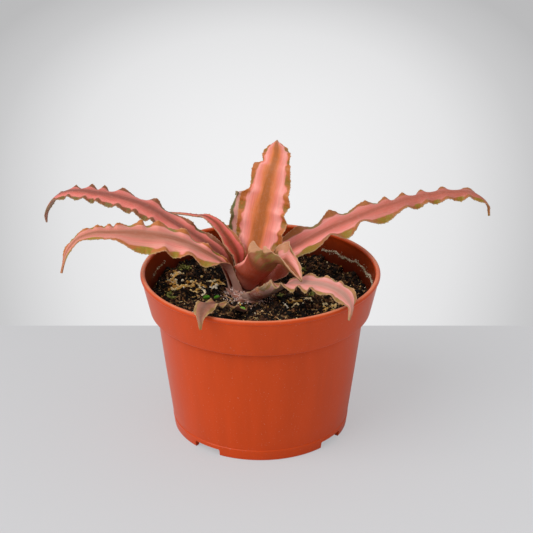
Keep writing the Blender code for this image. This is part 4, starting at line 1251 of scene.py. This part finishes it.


# Each leaf's looks. stripe and side: the middle stripe and its soft edges. band and glow:
# the pink bands and their lighter middles, which are partly the bands' own tone and partly a
# painted highlight. margin and green: the wavy margin and the green in it, where the margin
# hangs, or where it is raised with green_above. under: the far side.
# width: the stripe's share of the half width. base: how far up the near side the maroon of
# the base reaches. scurf: how scaly the far side is. lip: the rolled margin's colour.
# dusk: how far the pink dulls to the stripe's colour towards the tip. lobes: how much broader
# the margin is where it bulges.
LEAF_LOOKS = {
    "leaf_right": dict(
        stripe="#AC5844", side="#C86E5C", band="#E87E72", glow="#F59E94", margin="#A4602E",
        green="#8C7212", under="#8E3A2C", width=0.17, base=0.14, scurf=0.1, dusk=0.78,
        lobes=0.46,
    ),
    "leaf_far_left": dict(
        stripe="#964C3E", side="#B86252", band="#DE7064", glow="#EA867A", margin="#8C5230",
        green="#6E5A16", under="#A27A68", width=0.22, base=0.1, scurf=0.5, lobes=0.42,
    ),
    "leaf_near_left": dict(
        stripe="#B0684E", side="#CC8670", band="#F28E80", glow="#FCA898", margin="#BC6E34",
        green="#98801A", under="#8C6C4A", width=0.2, base=0.06, scurf=0.34, dusk=0.4,
        lobes=0.36,
    ),
    "leaf_inner_left": dict(
        stripe="#8A3C22", side="#B25038", band="#DA6056", glow="#EC766C", margin="#B0683E",
        green="#8A5C22", under="#B8806A", width=0.2, base=0.06, scurf=0.5,
    ),
    "leaf_upright": dict(
        stripe="#B2622A", side="#E07C46", band="#F28A7A", glow="#FFAA9E", margin="#BC6A30",
        green="#92681C", under="#B07C68", width=0.23, base=0.06, scurf=0.5,
    ),
    "leaf_back": dict(
        stripe="#A87058", side="#B88070", band="#CC8C80", glow="#D89A8E", margin="#6E6230",
        green="#565C28", under="#B88C7C", width=0.2, base=0.06, scurf=0.5,
    ),
    "leaf_front": dict(
        stripe="#B06A40", side="#8E4A28", band="#E88E82", glow="#F2A89E", margin="#C48C66",
        green="#7E6224", under="#7C4420", width=0.22, base=0.26, scurf=0.05,
        green_above=True, lip="#EE8C80",
    ),
    "leaf_low_right": dict(
        stripe="#C08A7A", side="#CC9082", band="#E68C80", glow="#F2A69C", margin="#B07C4C",
        green="#94783A", under="#7E5448", width=0.2, base=0.1, scurf=0.55,
    ),
    "leaf_low_left": dict(
        stripe="#80503C", side="#8C5844", band="#9C6048", glow="#A87058", margin="#A67E48",
        green="#8E7030", under="#8A6A5A", width=0.2, base=0.06, scurf=0.4,
    ),
    "leaf_heart_right": dict(
        stripe="#A0503C", side="#B4604C", band="#D8685E", glow="#E47C72", margin="#A8683A",
        green="#8A6624", under="#A06A5A", width=0.2, base=0.06, scurf=0.4,
    ),
}
LEAF_LOOKS["leaf_heart_left"] = LEAF_LOOKS["leaf_heart_right"]
BASE_MAROON = "#943619"
SCURF = "#D2BCAC"
EDGE = "#DDBB98"
# The patterns of the skin: repeats in 100 mm across and along the blade, and other settings.
LEAF_PATTERNS = {
    # Veins 0.5 mm apart across the leaf and long drawn out along it.
    "veins": ((200, 6, 1), {"Roughness": 0.6}),
    # Broad clouds of colour, 3 mm across and 12 mm along.
    "clouds": ((32, 8, 1), {"Detail": 3.0}),
    # Blotches about 2 mm across, for the margin and the base.
    "blotches": ((55, 55, 1), {"Detail": 4.0}),
    # Scales a third of a millimetre across, clumped by the blotches.
    "scales": ((330, 240, 1), {}),
}


def teeth(along, spacing, height, seed):
    """Height of the margin's spiny teeth along its length; they lean towards the tip."""
    phase = along / spacing + 0.35 * np.sin(0.9 * along + seed)
    share = phase % 1.0
    tooth = np.where(share < 0.7, share / 0.7, (1 - share) / 0.3)
    size = 0.7 + 0.3 * np.sin(2.4 * np.floor(phase) + seed)
    return height * size * tooth**1.3


def across_columns(count):
    """Places from the left margin, -1, to the right margin, 1, closer near the margins."""
    even = np.linspace(-1, 1, count)
    return np.sign(even) * (1 - (1 - np.abs(even)) ** 1.35)


def frilled_sheet(leaf, t, across, seed):
    """The leaf's sheet with a finer ripple near its margins than the tables hold."""
    sheet = leaf_sheet(leaf, t, across)
    length = np.linalg.norm(np.diff(sheet[:, len(across) // 2], axis=0), axis=1).sum()
    along = t * length
    normals = np.cross(np.gradient(sheet, axis=1), np.gradient(sheet, axis=0))
    normals /= np.linalg.norm(normals, axis=2)[:, :, None]
    body = np.clip(np.minimum(t / 0.12, (1 - t) / 0.12), 0, 1)
    ripple = np.zeros(sheet.shape[:2])
    for column, u in enumerate(across):
        turn = seed + (1.7 if u > 0 else 0)
        wave = np.sin(along * 1.7 + turn) + 0.7 * np.sin(along * 2.9 + 2 * turn)
        swell = 0.6 + 0.4 * np.sin(along * 0.37 + 3 * turn)
        ripple[:, column] = 0.14 * wave * swell * abs(u) ** 4 * body
    return sheet + normals * ripple[:, :, None], along


def with_teeth(sheet, along, spacing, height, seed):
    """Adds one more column outside each margin, which rises and falls as the teeth do."""
    width = np.linalg.norm(sheet[:, -1] - sheet[:, 0], axis=1)
    fade = np.clip(width / 4, 0.15, 1)
    columns = []
    for edge, inner, offset in ((0, 2, 0.0), (-1, -3, 2.0)):
        out = sheet[:, edge] - sheet[:, inner]
        out /= np.linalg.norm(out, axis=1)[:, None]
        rise = (0.05 + teeth(along, spacing, height, seed + offset)) * fade
        columns.append(sheet[:, edge] + out * rise[:, None])
    return np.concatenate([columns[0][:, None], sheet, columns[1][:, None]], axis=1)


def skin_patterns(tree):
    """What a leaf's skin is coloured by: its places, its patterns and where its waves crest."""
    blade, fibre = (add_node(tree, "UVMap", uv_map=uv_map) for uv_map in ("blade", "fibre"))
    side, along = add_node(tree, "SeparateXYZ", {0: blade}).node.outputs[:2]
    skin = {"along": along}
    for attribute in ("hang", "lobe"):
        skin[attribute] = add_node(tree, "Attribute", out="Fac", attribute_name=attribute)
    for pattern, (scale, detail) in LEAF_PATTERNS.items():
        place = add_node(tree, "Mapping", {"Vector": fibre, "Scale": scale})
        noise = {"Vector": place, "Scale": 1.0, **detail}
        skin[pattern] = add_node(tree, "TexNoise", noise, noise_dimensions="2D")
    clumps = {0: skin["scales"], 1: skin["blotches"]}
    skin["clumped"] = add_node(tree, "Math", clumps, operation="MULTIPLY")
    # From -1 at the left margin to 1 at the right one.
    centred = add_node(tree, "Math", {0: side, 1: 2.0, 2: -1.0}, operation="MULTIPLY_ADD")
    # Distance from the midrib as a share of the half width, and the same made uneven by clouds.
    across = add_node(tree, "Math", {0: centred}, operation="ABSOLUTE")
    cloudy = add_node(tree, "Math", {0: skin["clouds"], 1: 0.3, 2: -0.15}, operation="MULTIPLY_ADD")
    skin["uneven"] = add_node(tree, "Math", {0: across, 1: cloudy}, operation="ADD")
    # Distance from the base, made ragged by the blotches.
    ragged = {0: skin["blotches"], 1: -0.12, 2: along}
    skin["raised"] = add_node(tree, "Math", ragged, operation="MULTIPLY_ADD")
    return {**skin, "centred": centred, "across": across}


def banded_colour(tree, look, skin, upper):
    """The skin's colour: bands or a plain far side, then its margin, base and rolled lip."""
    along, uneven = skin["along"], skin["uneven"]
    # The margin is broadest where it bulges, and greener where it hangs.
    bulge = {0: skin["lobe"], 1: look.get("lobes", 0.26), 2: uneven}
    bulged = add_node(tree, "Math", bulge, operation="MULTIPLY_ADD")
    in_margin = add_node(tree, "MapRange", {0: bulged, 1: 0.92, 2: 1.02}, **SOFT_STEP)
    near_tip = add_node(tree, "MapRange", {0: along, 1: 0.9, 2: 1.0, 4: 0.85}, **SOFT_STEP)
    olive = add_node(tree, "Math", {0: in_margin, 1: near_tip}, operation="MAXIMUM")
    hang = {0: skin["hang"], 1: 0.5, 2: skin["blotches"]}
    hanging = add_node(tree, "Math", hang, operation="MULTIPLY_ADD")
    greenness = add_node(tree, "MapRange", {0: hanging, 1: 0.64, 2: 1.0, 4: 0.9}, **SOFT_STEP)
    pair = {SHARE: greenness, FIRST: look["margin"], SECOND: look["green"]}
    brown = add_node(tree, "Mix", pair, MIXED, **COLOURS)
    # The clasping base is maroon, further up on the far side.
    reach = look["base"] if upper else look["base"] + 0.14
    fades = {0: skin["raised"], 1: reach - 0.1, 2: reach, 3: 1.0, 4: 0.0}
    at_base = add_node(tree, "MapRange", fades, **SOFT_STEP)
    # Each layer's share and colour, the lowest layer first.
    layers = [(olive, brown), (at_base, BASE_MAROON)]
    if upper:
        width = look["width"]
        # The lighter middle of each band (glow) is partly the band's own tone and partly a painted
        # highlight.
        stops = [
            (0.0, look["stripe"]),
            (0.5 * width, look["stripe"]),
            (1.2 * width, look["side"]),
            (1.2 * width + 0.2, look["band"]),
            (0.62 + 0.3 * width, look["glow"]),
            (0.86, look["band"]),
        ]
        colour = add_node(tree, "ValToRGB", {0: uneven}, stops=stops)
        # Towards the tip the pink dulls to the stripe's colour.
        dusk = {0: along, 1: 0.28, 2: 0.66, 4: look.get("dusk", 0.1)}
        layers.insert(0, (add_node(tree, "MapRange", dusk, **SOFT_STEP), look["stripe"]))
    else:
        stops = [(0.36, look["under"]), (0.5, look["green"]), (0.6, look["side"])]
        colour = add_node(tree, "ValToRGB", {0: skin["clouds"]}, stops=stops)
    if "lip" in look and not upper:
        # The near side's pink shows on the rolled lip of the margin.
        rolled = add_node(tree, "MapRange", {0: skin["centred"], 1: 0.86, 2: 0.95}, **SOFT_STEP)
        high = add_node(tree, "MapRange", {0: along, 1: 0.2, 2: 0.3}, **SOFT_STEP)
        ends = {0: along, 1: 0.36, 2: 0.44, 3: 1.0, 4: 0.0}
        low = add_node(tree, "MapRange", ends, **SOFT_STEP)
        within = add_node(tree, "Math", {0: low, 1: high}, operation="MULTIPLY")
        share = add_node(tree, "Math", {0: rolled, 1: within}, operation="MULTIPLY")
        layers.append((share, look["lip"]))
    for share, over in layers:
        pair = {SHARE: share, FIRST: colour, SECOND: over}
        colour = add_node(tree, "Mix", pair, MIXED, **COLOURS)
    return colour


def leaf_tissue(name, look, upper):
    """A leaf's skin: waxy and softly glossy above, dull and silvery with scales below.

    Two pink bands run between a dusky middle stripe and an olive-brown margin, and the
    base is maroon. Fine veins run along the leaf, with a bloom of pale scales over them.
    """
    made, tree, shader = new_material(name, IOR=1.45, Specular_IOR_Level=0.35)
    skin = skin_patterns(tree)
    veins, clumped = skin["veins"], skin["clumped"]
    colour = banded_colour(tree, look, skin, upper)
    # Veins darken and lighten the skin a little.
    vein_tone = add_node(tree, "MapRange", {0: veins, 1: 0.3, 2: 0.7, 3: 0.93, 4: 1.06})
    colour = add_node(tree, "HueSaturation", {"Color": colour, "Value": vein_tone})
    # The bloom of scales is faint above and thick below.
    bloom = {1: 0.26, 2: 0.42, 4: 0.1} if upper else {1: 0.16, 2: 0.36, 4: look["scurf"]}
    scaled = add_node(tree, "MapRange", {0: clumped, **bloom})
    if not upper:
        # The scales close up to a pale skin at the foot.
        at_foot = {0: skin["raised"], 1: 0.0, 2: 0.17, 3: look["scurf"] + 0.08, 4: 0.0}
        foot = add_node(tree, "MapRange", at_foot, **SOFT_STEP)
        scaled = add_node(tree, "Math", {0: scaled, 1: foot}, operation="MAXIMUM")
    # The teeth and the very edge are bone coloured.
    at_edge = {0: skin["across"], 1: 0.98, 2: 1.0, 4: 0.32}
    on_teeth = add_node(tree, "MapRange", at_edge, **SOFT_STEP)
    for share, over in ((scaled, SCURF), (on_teeth, EDGE)):
        pair = {SHARE: share, FIRST: colour, SECOND: over}
        colour = add_node(tree, "Mix", pair, MIXED, **COLOURS)
    smoothest, roughest, scaliness = (0.4, 0.55, 0.25) if upper else (0.6, 0.75, 0.5)
    dull = {0: skin["scales"], 1: 0.35, 2: 0.65, 3: smoothest, 4: roughest}
    roughness = add_node(tree, "MapRange", dull)
    bump = add_node(tree, "Bump", {"Height": veins, "Strength": 0.35, "Distance": 0.00012})
    fine = {"Height": clumped, "Normal": bump, "Strength": scaliness, "Distance": 0.00008}
    feed(tree, shader, Base_Color=colour, Roughness=roughness, Normal=add_node(tree, "Bump", fine))
    return made


class EarthStarLeaves(bpy.types.PropertyGroup):
    """The rosette of leaves."""

    spacing: bpy.props.FloatProperty(
        name="Mesh spacing",
        description="Length of a face along a leaf",
        default=0.4 * MM,
        min=0.2 * MM,
        unit="LENGTH",
    )
    columns: bpy.props.IntProperty(
        name="Columns", description="Faces across a leaf's blade", default=28, min=8, max=60
    )
    thickness: bpy.props.FloatProperty(
        name="Thickness",
        description="Thickness at the midrib",
        default=1.2 * MM,
        min=0.4 * MM,
        unit="LENGTH",
    )
    margin_share: bpy.props.FloatProperty(
        name="Margin",
        description="Thickness at the margin as a share of the midrib's",
        default=0.3,
        subtype="FACTOR",
    )
    tooth_spacing: bpy.props.FloatProperty(
        name="Tooth spacing",
        description="Distance between spiny teeth",
        default=1.3 * MM,
        unit="LENGTH",
    )
    tooth_height: bpy.props.FloatProperty(
        name="Tooth height",
        description="How far a tooth stands out",
        default=0.55 * MM,
        unit="LENGTH",
    )


class EARTHSTAR_OT_leaves(bpy.types.Operator):
    """Build every leaf: a wavy banded blade with fine teeth, thick at its midrib"""

    bl_idname = "earth_star.leaves"
    bl_label = "Leaves"

    def execute(self, context):
        settings = context.scene.earth_star_leaves
        for number, (name, leaf) in enumerate(LEAVES.items()):
            self.build(name, leaf, float(number), settings)
        return {"FINISHED"}

    def build(self, name, leaf, seed, settings):
        """One leaf: a grid laid on its sheet, given its maps and materials, then a thickness."""
        midrib = even_stations(leaf["midrib"], 200)
        length = np.linalg.norm(np.diff(midrib, axis=0), axis=1).sum()
        t = np.linspace(0, 1, int(length / (settings.spacing / MM)) + 1)
        across = across_columns(settings.columns + 1)
        sheet, along = frilled_sheet(leaf, t, across, seed)
        spacing, height = settings.tooth_spacing / MM, settings.tooth_height / MM
        sheet = with_teeth(sheet, along, spacing, height, seed)
        rows, columns = sheet.shape[:2]
        blade = added(
            bpy.ops.mesh.primitive_grid_add,
            name.replace("leaf", "blade"),
            x_subdivisions=columns - 1,
            y_subdivisions=rows - 1,
            size=1,
        )
        flat = points_of(blade)
        column = np.rint((flat[:, 0] + 0.5) * (columns - 1)).astype(int)
        row = np.rint((flat[:, 1] + 0.5) * (rows - 1)).astype(int)
        set_points(blade, sheet[row, column] * MM)
        look = LEAF_LOOKS[name]
        # The teeth's columns lie on the margins.
        u = np.r_[-1, across, 1]
        self.lay_maps(blade, leaf, sheet, along, u, t, row, column, "green_above" in look)
        group = blade.vertex_groups.new(name="thick")
        for index, weight in enumerate(1 - np.abs(u)[column] ** 1.5):
            group.add([index], float(weight), "REPLACE")
        # The wall that Solidify adds on the far side takes the second material.
        place = name.removeprefix("leaf_")
        above = leaf_tissue(f"waxy_leaf_{place}", look, True)
        below = leaf_tissue(f"scurfy_underside_{place}", look, False)
        paint(blade, above, below)
        apply_modifier(
            blade,
            "SOLIDIFY",
            thickness=settings.thickness,
            offset=0.0,
            vertex_group="thick",
            thickness_vertex_group=settings.margin_share,
            material_offset=1,
        )
        blade.vertex_groups.clear()
        smooth(blade, 50)
        settle(blade, "leaf_old" if name == "leaf_low_left" else "leaf_pink", name)

    def lay_maps(self, blade, leaf, sheet, along, u, t, row, column, green_above):
        """UV maps in shares of the blade and in real lengths, and where its waves crest."""
        steps = np.linalg.norm(np.diff(sheet, axis=1), axis=2)
        reach = np.concatenate([np.zeros((len(t), 1)), np.cumsum(steps, axis=1)], axis=1)
        reach -= reach[:, [len(u) // 2]]
        set_uv(blade, "blade", np.stack([0.5 + 0.5 * u[column], t[row]], -1))
        set_uv(blade, "fibre", np.stack([reach[row, column], along[row]], -1) / 100)
        # hang is 1 where the margin hangs lowest, or is raised most on a leaf that greens
        # above, and lobe is 1 where it bulges most.
        is_left = column < len(u) // 2
        waves = [margin_wave(leaf[side], t) for side in ("left", "right")]
        bulges = [self.bulge(table, t, along[-1]) for table in halves(leaf["half_width"])]
        hang = [np.clip(wave if green_above else -wave, 0, 1) for wave in waves]
        lobe = [
            np.clip(0.3 + 0.4 * abs(wave) + 3 * bulge, 0, 1) for wave, bulge in zip(waves, bulges)
        ]
        set_attribute(blade, "hang", np.where(is_left, hang[0][row], hang[1][row]))
        set_attribute(blade, "lobe", np.where(is_left, lobe[0][row], lobe[1][row]))

    def bulge(self, table, t, length):
        """How far the margin stands out of its own average over 16 mm, as a share."""
        width = eased(table, t)
        half = max(2, int(8 / length * len(t)))
        window = np.full(2 * half + 1, 1 / (2 * half + 1))
        return width / np.convolve(np.pad(width, half, "edge"), window, "valid") - 1


# ---------------------------------------------------------------- the stem


STEM_X = (STEM_LOW.x + STEM_HIGH.x) / 2 / MM
STEM_Y = (STEM_LOW.y + STEM_HIGH.y) / 2 / MM
STEM_SECTION = [(4.0, 58.4), (3.7, 70.0), (3.5, 73.0), (1.7, 75.5), (1.5, 79.0), (0.8, 80.2)]


class EARTHSTAR_OT_stem(bpy.types.Operator):
    """Build the short stem that the leaf bases clasp"""

    bl_idname = "earth_star.stem"
    bl_label = "Stem"

    def execute(self, context):
        stem = turned_shell("crown_stem", 32, STEM_SECTION, (STEM_X, STEM_Y))
        smooth(stem, 40)
        paint(stem, self.bark())
        settle(stem, "stem_tissue", "stem")
        return {"FINISHED"}

    def bark(self):
        """A corky young stem: dull red-brown, ringed with old leaf scars."""
        made, tree, shader = new_material("corky_stem", Roughness=0.8)
        place = add_node(tree, "TexCoord", out="Object")
        # Rings about 1 mm apart up the stem.
        ring_place = add_node(tree, "Mapping", {"Vector": place, "Scale": (120, 120, 900)})
        rings = add_node(tree, "TexNoise", {"Vector": ring_place, "Scale": 1.0, "Detail": 3.0})
        colour = add_node(tree, "ValToRGB", {0: rings}, stops=[(0.3, "#4A2018"), (0.7, "#8A5040")])
        bump = add_node(tree, "Bump", {"Height": rings, "Strength": 0.6, "Distance": 0.0002})
        feed(tree, shader, Base_Color=colour, Normal=bump)
        return made


# Dry leaf bases round the foot of the stem: direction in degrees, distance from the stem's
# middle, height and width.
DRY_BASES = [
    (186, 6.6, 5.0, 4.6), (200, 7.4, 5.5, 4.8), (216, 8.0, 4.6, 5.0), (228, 6.4, 5.6, 5.2),
    (240, 8.6, 4.0, 5.0), (250, 6.8, 5.0, 5.2), (262, 9.2, 3.4, 5.4), (272, 7.0, 4.6, 5.2),
    (284, 9.4, 3.2, 5.2), (294, 7.2, 4.2, 5.0), (306, 9.0, 3.0, 5.0), (320, 7.4, 3.6, 4.8),
    (248, 10.6, 2.6, 5.0), (263, 11.2, 3.4, 5.2), (277, 11.4, 3.8, 5.4), (290, 11.2, 3.6, 5.2),
    (303, 10.6, 2.6, 5.0), (344, 7.0, 3.6, 4.6), (10, 6.8, 4.0, 4.6), (60, 6.8, 4.4, 4.6),
    (110, 7.0, 4.4, 4.6), (150, 7.2, 4.6, 4.6),
]
CROWN_SEED = 11
SCURF_FLAKES = 1500
DRY_STOPS = [(0.0, "#A85C48"), (0.4, "#C88A74"), (0.75, "#DCB0A0"), (1.0, "#EED6CA")]
FLAKE_STOPS = [(0.0, "#B67C6C"), (0.45, "#E0BEB0"), (1.0, "#F8EEE8")]


class EARTHSTAR_OT_crown(bpy.types.Operator):
    """Set dry leaf bases and loose scurf round the foot of the stem"""

    bl_idname = "earth_star.crown"
    bl_label = "Crown"

    def execute(self, context):
        rng = np.random.default_rng(CROWN_SEED)
        self.dry_bases(rng)
        self.scurf(rng, SCURF_FLAKES)
        return {"FINISHED"}

    def dry_bases(self, rng):
        """Pointed papery scales, hollow on the inner side, that curve outwards to their tips."""
        sphere_add = bpy.ops.mesh.primitive_uv_sphere_add
        base = added(sphere_add, "dry_base", segments=20, ring_count=14, radius=1)
        x, y, z = points_of(base).T
        x = x * (1 - 0.45 * z) * 0.5
        y = 0.09 * y + 0.22 * (z + 1) ** 2 / 2 - 0.9 * x**2
        set_points(base, np.stack([x, y, 0.5 * (z + 1)], -1))
        degrees, distance, height, width = np.array(DRY_BASES).T
        turn = np.radians(degrees)
        x, y = STEM_X + distance * np.cos(turn), STEM_Y + distance * np.sin(turn)
        places = np.stack([x, y, soil_surface(x, y) - 0.6], -1)
        sizes = np.stack([width, 0.8 * height, height], -1)
        turns = standing(turn, rng.uniform(0.0, 0.3, len(turn)))
        tones = rng.uniform(0.2, 1, len(turn))
        material = mixed_grains("papery_leaf_base", DRY_STOPS, 0.8, 420.0)
        smooth(strewn("dry_leaf_bases", base, places, sizes, turns, tones, material, "stem_tissue"))

    def scurf(self, rng, count):
        """Loose scurf: small pale flakes that cling round the foot of the stem."""
        turn = np.radians(rng.normal(262, 48, count))
        reach = 6.0 + rng.exponential(2.4, count)
        x, y = STEM_X + reach * np.cos(turn), STEM_Y + reach * np.sin(turn)
        rise = rng.uniform(0.2, 4.5, count) * np.clip(1.7 - reach / 8, 0.1, 1)
        places = np.stack([x, y, soil_surface(x, y) + 0.5 + rise], -1)
        sizes = rng.uniform(0.18, 0.55, (count, 3)) * [1.0, 0.7, 0.35]
        turns, tones = random_turns(rng, count), rng.uniform(0, 1, count)
        material = mixed_grains("dry_scurf", FLAKE_STOPS, 0.85, 900.0)
        strewn("stem_scurf", angular_grain(), places, sizes, turns, tones, material, "stem_tissue")


# ---------------------------------------------------------------- the stage


# In metres: the table's size, how far behind the pot's middle it ends and the backdrop's glow
# lies, how deep the glow is, and how wide it is at the pot and further for each metre behind.
TABLE_SIZE = 12
TABLE_EDGE = 0.1005
GLOW_MIDDLE = 0.28
GLOW_DEPTH = 0.52
GLOW_WIDTH = 0.132
GLOW_WIDENING = 0.143
GLOW_STOPS = [
    (0.0, "#F1F1F2"), (0.175, "#E4E4E5"), (0.34, "#CBCBCC"), (0.5, "#BBBBBC"), (0.62, "#BBBBBC"),
    (1.0, "#CACACC"),
]
# The way from the pot to the key light, and how broad the light is in degrees.
KEY_TOWARDS = (-0.62, -0.4, 0.68)
KEY_BREADTH = 50


class EarthStarStage(bpy.types.PropertyGroup):
    """The floor, the light and the camera."""

    sky: bpy.props.FloatProperty(
        name="Soft light",
        description="Strength of the even light from all round",
        default=0.62,
        min=0.0,
    )
    key: bpy.props.FloatProperty(
        name="Key light",
        description="Strength of the broad light from the left",
        default=1.7,
        min=0.0,
    )
    near: bpy.props.FloatVectorProperty(
        name="Table",
        description="Colour of the floor around the pot",
        subtype="COLOR",
        size=3,
        default=linear("#D2D2D4"),
    )
    evenness: bpy.props.FloatProperty(
        name="Evenness",
        description="Share of the floor's tone that the pot's shadow doesn't reach",
        default=0.62,
        min=0.0,
        max=1.0,
        subtype="FACTOR",
    )
    lens: bpy.props.FloatProperty(
        name="Lens", description="Focal length", default=114.8, unit="CAMERA"
    )
    pitch: bpy.props.FloatProperty(
        name="Pitch",
        description="How far the camera looks down",
        default=math.radians(24.48),
        subtype="ANGLE",
    )
    camera: bpy.props.FloatVectorProperty(
        name="Camera",
        description="Place of the camera",
        subtype="TRANSLATION",
        unit="LENGTH",
        size=3,
        default=(0.0029, -0.7333, 0.4152),
    )


class EARTHSTAR_OT_stage(bpy.types.Operator):
    """Set up the pale floor, the soft studio light and the camera"""

    bl_idname = "earth_star.stage"
    bl_label = "Stage"

    def execute(self, context):
        settings = context.scene.earth_star_stage
        # The table lies a hair below the pot's foot.
        place = (0, TABLE_EDGE - TABLE_SIZE / 2, -0.05 * MM)
        plane_add = bpy.ops.mesh.primitive_plane_add
        floor = added(plane_add, "studio_floor", size=TABLE_SIZE, location=place)
        paint(floor, self.floor_paint(settings))
        self.sky_light(context, settings)
        self.key_light(settings)
        deselect()
        turn = (math.pi / 2 - settings.pitch, 0, 0)
        bpy.ops.object.camera_add(location=settings.camera, rotation=turn)
        camera = bpy.context.view_layer.objects.active
        camera.name = "camera"
        camera.data.lens = settings.lens
        camera.data.clip_end = 50
        context.scene.camera = camera
        context.scene.view_settings.view_transform = "Standard"
        return {"FINISHED"}

    def floor_paint(self, settings):
        """Matt studio paint: an even grey with a painted falloff of the light, a little darker
        towards the far edge.
        """
        matt = {"Roughness": 0.95, "Specular_IOR_Level": 0.1}
        made, tree, shader = new_material("matt_backdrop_paint", **matt)
        place = add_node(tree, "TexCoord", out="Object")
        y = add_node(tree, "SeparateXYZ", {0: place}, "Y")
        # Painted falloff of the light: the grey is a little darker towards the far edge.
        nearness = add_node(tree, "MapRange", {0: y, 1: -0.25, 2: 0.1, 3: 1.06, 4: 0.93})
        grey = {"Color": (*settings.near, 1.0), "Value": nearness}
        colour = add_node(tree, "HueSaturation", grey)
        feed(tree, shader, Base_Color=colour)
        # The camera sees part of the tone evenly, which keeps the shadow soft.
        seen = add_node(tree, "LightPath", out="Is Camera Ray")
        share = add_node(tree, "Math", {0: seen, 1: settings.evenness}, operation="MULTIPLY")
        even = add_node(tree, "Emission", {"Color": colour, "Strength": 1.0})
        mixed = add_node(tree, "MixShader", {0: share, 1: shader.outputs[0], 2: even})
        tree.links.new(mixed, tree.nodes["Material Output"].inputs["Surface"])
        return made

    def backdrop_tone(self, tree, x, y):
        """A glow past the table's edge that widens with distance and fades from its middle."""
        width = {0: y, 1: GLOW_WIDENING, 2: GLOW_WIDTH}
        reach = add_node(tree, "Math", width, operation="MULTIPLY_ADD")
        sideways = add_node(tree, "Math", {0: x, 1: reach}, operation="DIVIDE")
        far = add_node(tree, "Math", {0: y, 1: -GLOW_MIDDLE}, operation="ADD")
        far = add_node(tree, "Math", {0: far, 1: 1 / GLOW_DEPTH}, operation="MULTIPLY")
        squares = [
            add_node(tree, "Math", {0: offset, 1: offset}, operation="MULTIPLY")
            for offset in (sideways, far)
        ]
        fade = add_node(tree, "Math", dict(enumerate(squares)), operation="ADD")
        share = add_node(tree, "MapRange", {0: fade, 1: 0.0, 2: 3.0})
        return add_node(tree, "ValToRGB", {0: share}, stops=GLOW_STOPS)

    def sky_light(self, context, settings):
        """An even soft light from all round, which the camera sees as pale grey."""
        world = bpy.data.worlds.new("soft_sky")
        world.use_nodes = True
        tree = world.node_tree
        tree.nodes.remove(tree.nodes["Background"])
        # Past the table, the camera sees the backdrop's tones by the direction it looks in:
        # each downward direction is followed to where it would meet the table's level.
        direction = add_node(tree, "TexCoord", out="Generated")
        *level, rise = add_node(tree, "SeparateXYZ", {0: direction}).node.outputs
        down = add_node(tree, "Math", {0: rise, 1: -1.0}, operation="MULTIPLY")
        down = add_node(tree, "Math", {0: down, 1: 0.02}, operation="MAXIMUM")
        met = []
        for sideways, eye in zip(level, settings.camera):
            slope = add_node(tree, "Math", {0: sideways, 1: down}, operation="DIVIDE")
            onto = {0: slope, 1: settings.camera[2], 2: eye}
            met.append(add_node(tree, "Math", onto, operation="MULTIPLY_ADD"))
        beyond = add_node(tree, "Math", {0: met[1], 1: TABLE_EDGE}, operation="GREATER_THAN")
        backdrop = {SHARE: beyond, FIRST: "#CACACC", SECOND: self.backdrop_tone(tree, *met)}
        colour = add_node(tree, "Mix", backdrop, MIXED, **COLOURS)
        plain = add_node(tree, "Background", {"Color": colour, "Strength": 1.0})
        lit = add_node(tree, "Background", {"Color": (1, 1, 1, 1), "Strength": settings.sky})
        seen = add_node(tree, "LightPath", out="Is Camera Ray")
        mixed = add_node(tree, "MixShader", {0: seen, 1: lit, 2: plain})
        tree.links.new(mixed, tree.nodes["World Output"].inputs["Surface"])
        context.scene.world = world

    def key_light(self, settings):
        """A broad key light from the upper left, in front of the pot."""
        deselect()
        turn = Vector(KEY_TOWARDS).to_track_quat("Z", "Y").to_euler()
        bpy.ops.object.light_add(type="SUN", location=(-0.6, -0.5, 0.7), rotation=turn)
        key = bpy.context.view_layer.objects.active
        key.name = "key_light"
        key.data.energy = settings.key
        key.data.angle = math.radians(KEY_BREADTH)


class VIEW3D_PT_earth_star(bpy.types.Panel):
    """The earth star's sizes, colours and building steps"""

    bl_label = "Potted Earth Star"
    bl_idname = "VIEW3D_PT_earth_star"
    bl_space_type = "VIEW_3D"
    bl_region_type = "UI"
    bl_category = "Earth Star"

    def draw(self, context):
        scene = context.scene
        parts = (
            ("Pot", scene.earth_star_pot, ("earth_star.pot",)),
            ("Soil", scene.earth_star_soil, ("earth_star.soil", "earth_star.dressing")),
            (
                "Plant",
                scene.earth_star_leaves,
                ("earth_star.stem", "earth_star.crown", "earth_star.leaves"),
            ),
            ("Stage", scene.earth_star_stage, ("earth_star.stage",)),
        )
        for title, settings, operators in parts:
            box = self.layout.box()
            box.label(text=title)
            for setting in settings.bl_rna.properties.keys():
                if setting not in ("rna_type", "name"):
                    box.prop(settings, setting)
            for operator in operators:
                box.operator(operator)


GROUPS = {
    "earth_star_pot": EarthStarPot,
    "earth_star_soil": EarthStarSoil,
    "earth_star_leaves": EarthStarLeaves,
    "earth_star_stage": EarthStarStage,
}
CLASSES = (
    *GROUPS.values(),
    EARTHSTAR_OT_pot,
    EARTHSTAR_OT_soil,
    EARTHSTAR_OT_dressing,
    EARTHSTAR_OT_stem,
    EARTHSTAR_OT_crown,
    EARTHSTAR_OT_leaves,
    EARTHSTAR_OT_stage,
    VIEW3D_PT_earth_star,
)


def register():
    for kind in CLASSES:
        bpy.utils.register_class(kind)
    for name, group in GROUPS.items():
        setattr(bpy.types.Scene, name, bpy.props.PointerProperty(type=group))


def unregister():
    for name in GROUPS:
        delattr(bpy.types.Scene, name)
    for kind in reversed(CLASSES):
        bpy.utils.unregister_class(kind)


def main():
    register()
    bpy.ops.earth_star.pot()
    bpy.ops.earth_star.soil()
    bpy.ops.earth_star.dressing()
    bpy.ops.earth_star.stem()
    bpy.ops.earth_star.crown()
    bpy.ops.earth_star.leaves()
    bpy.ops.earth_star.stage()


if __name__ == "__main__":
    main()
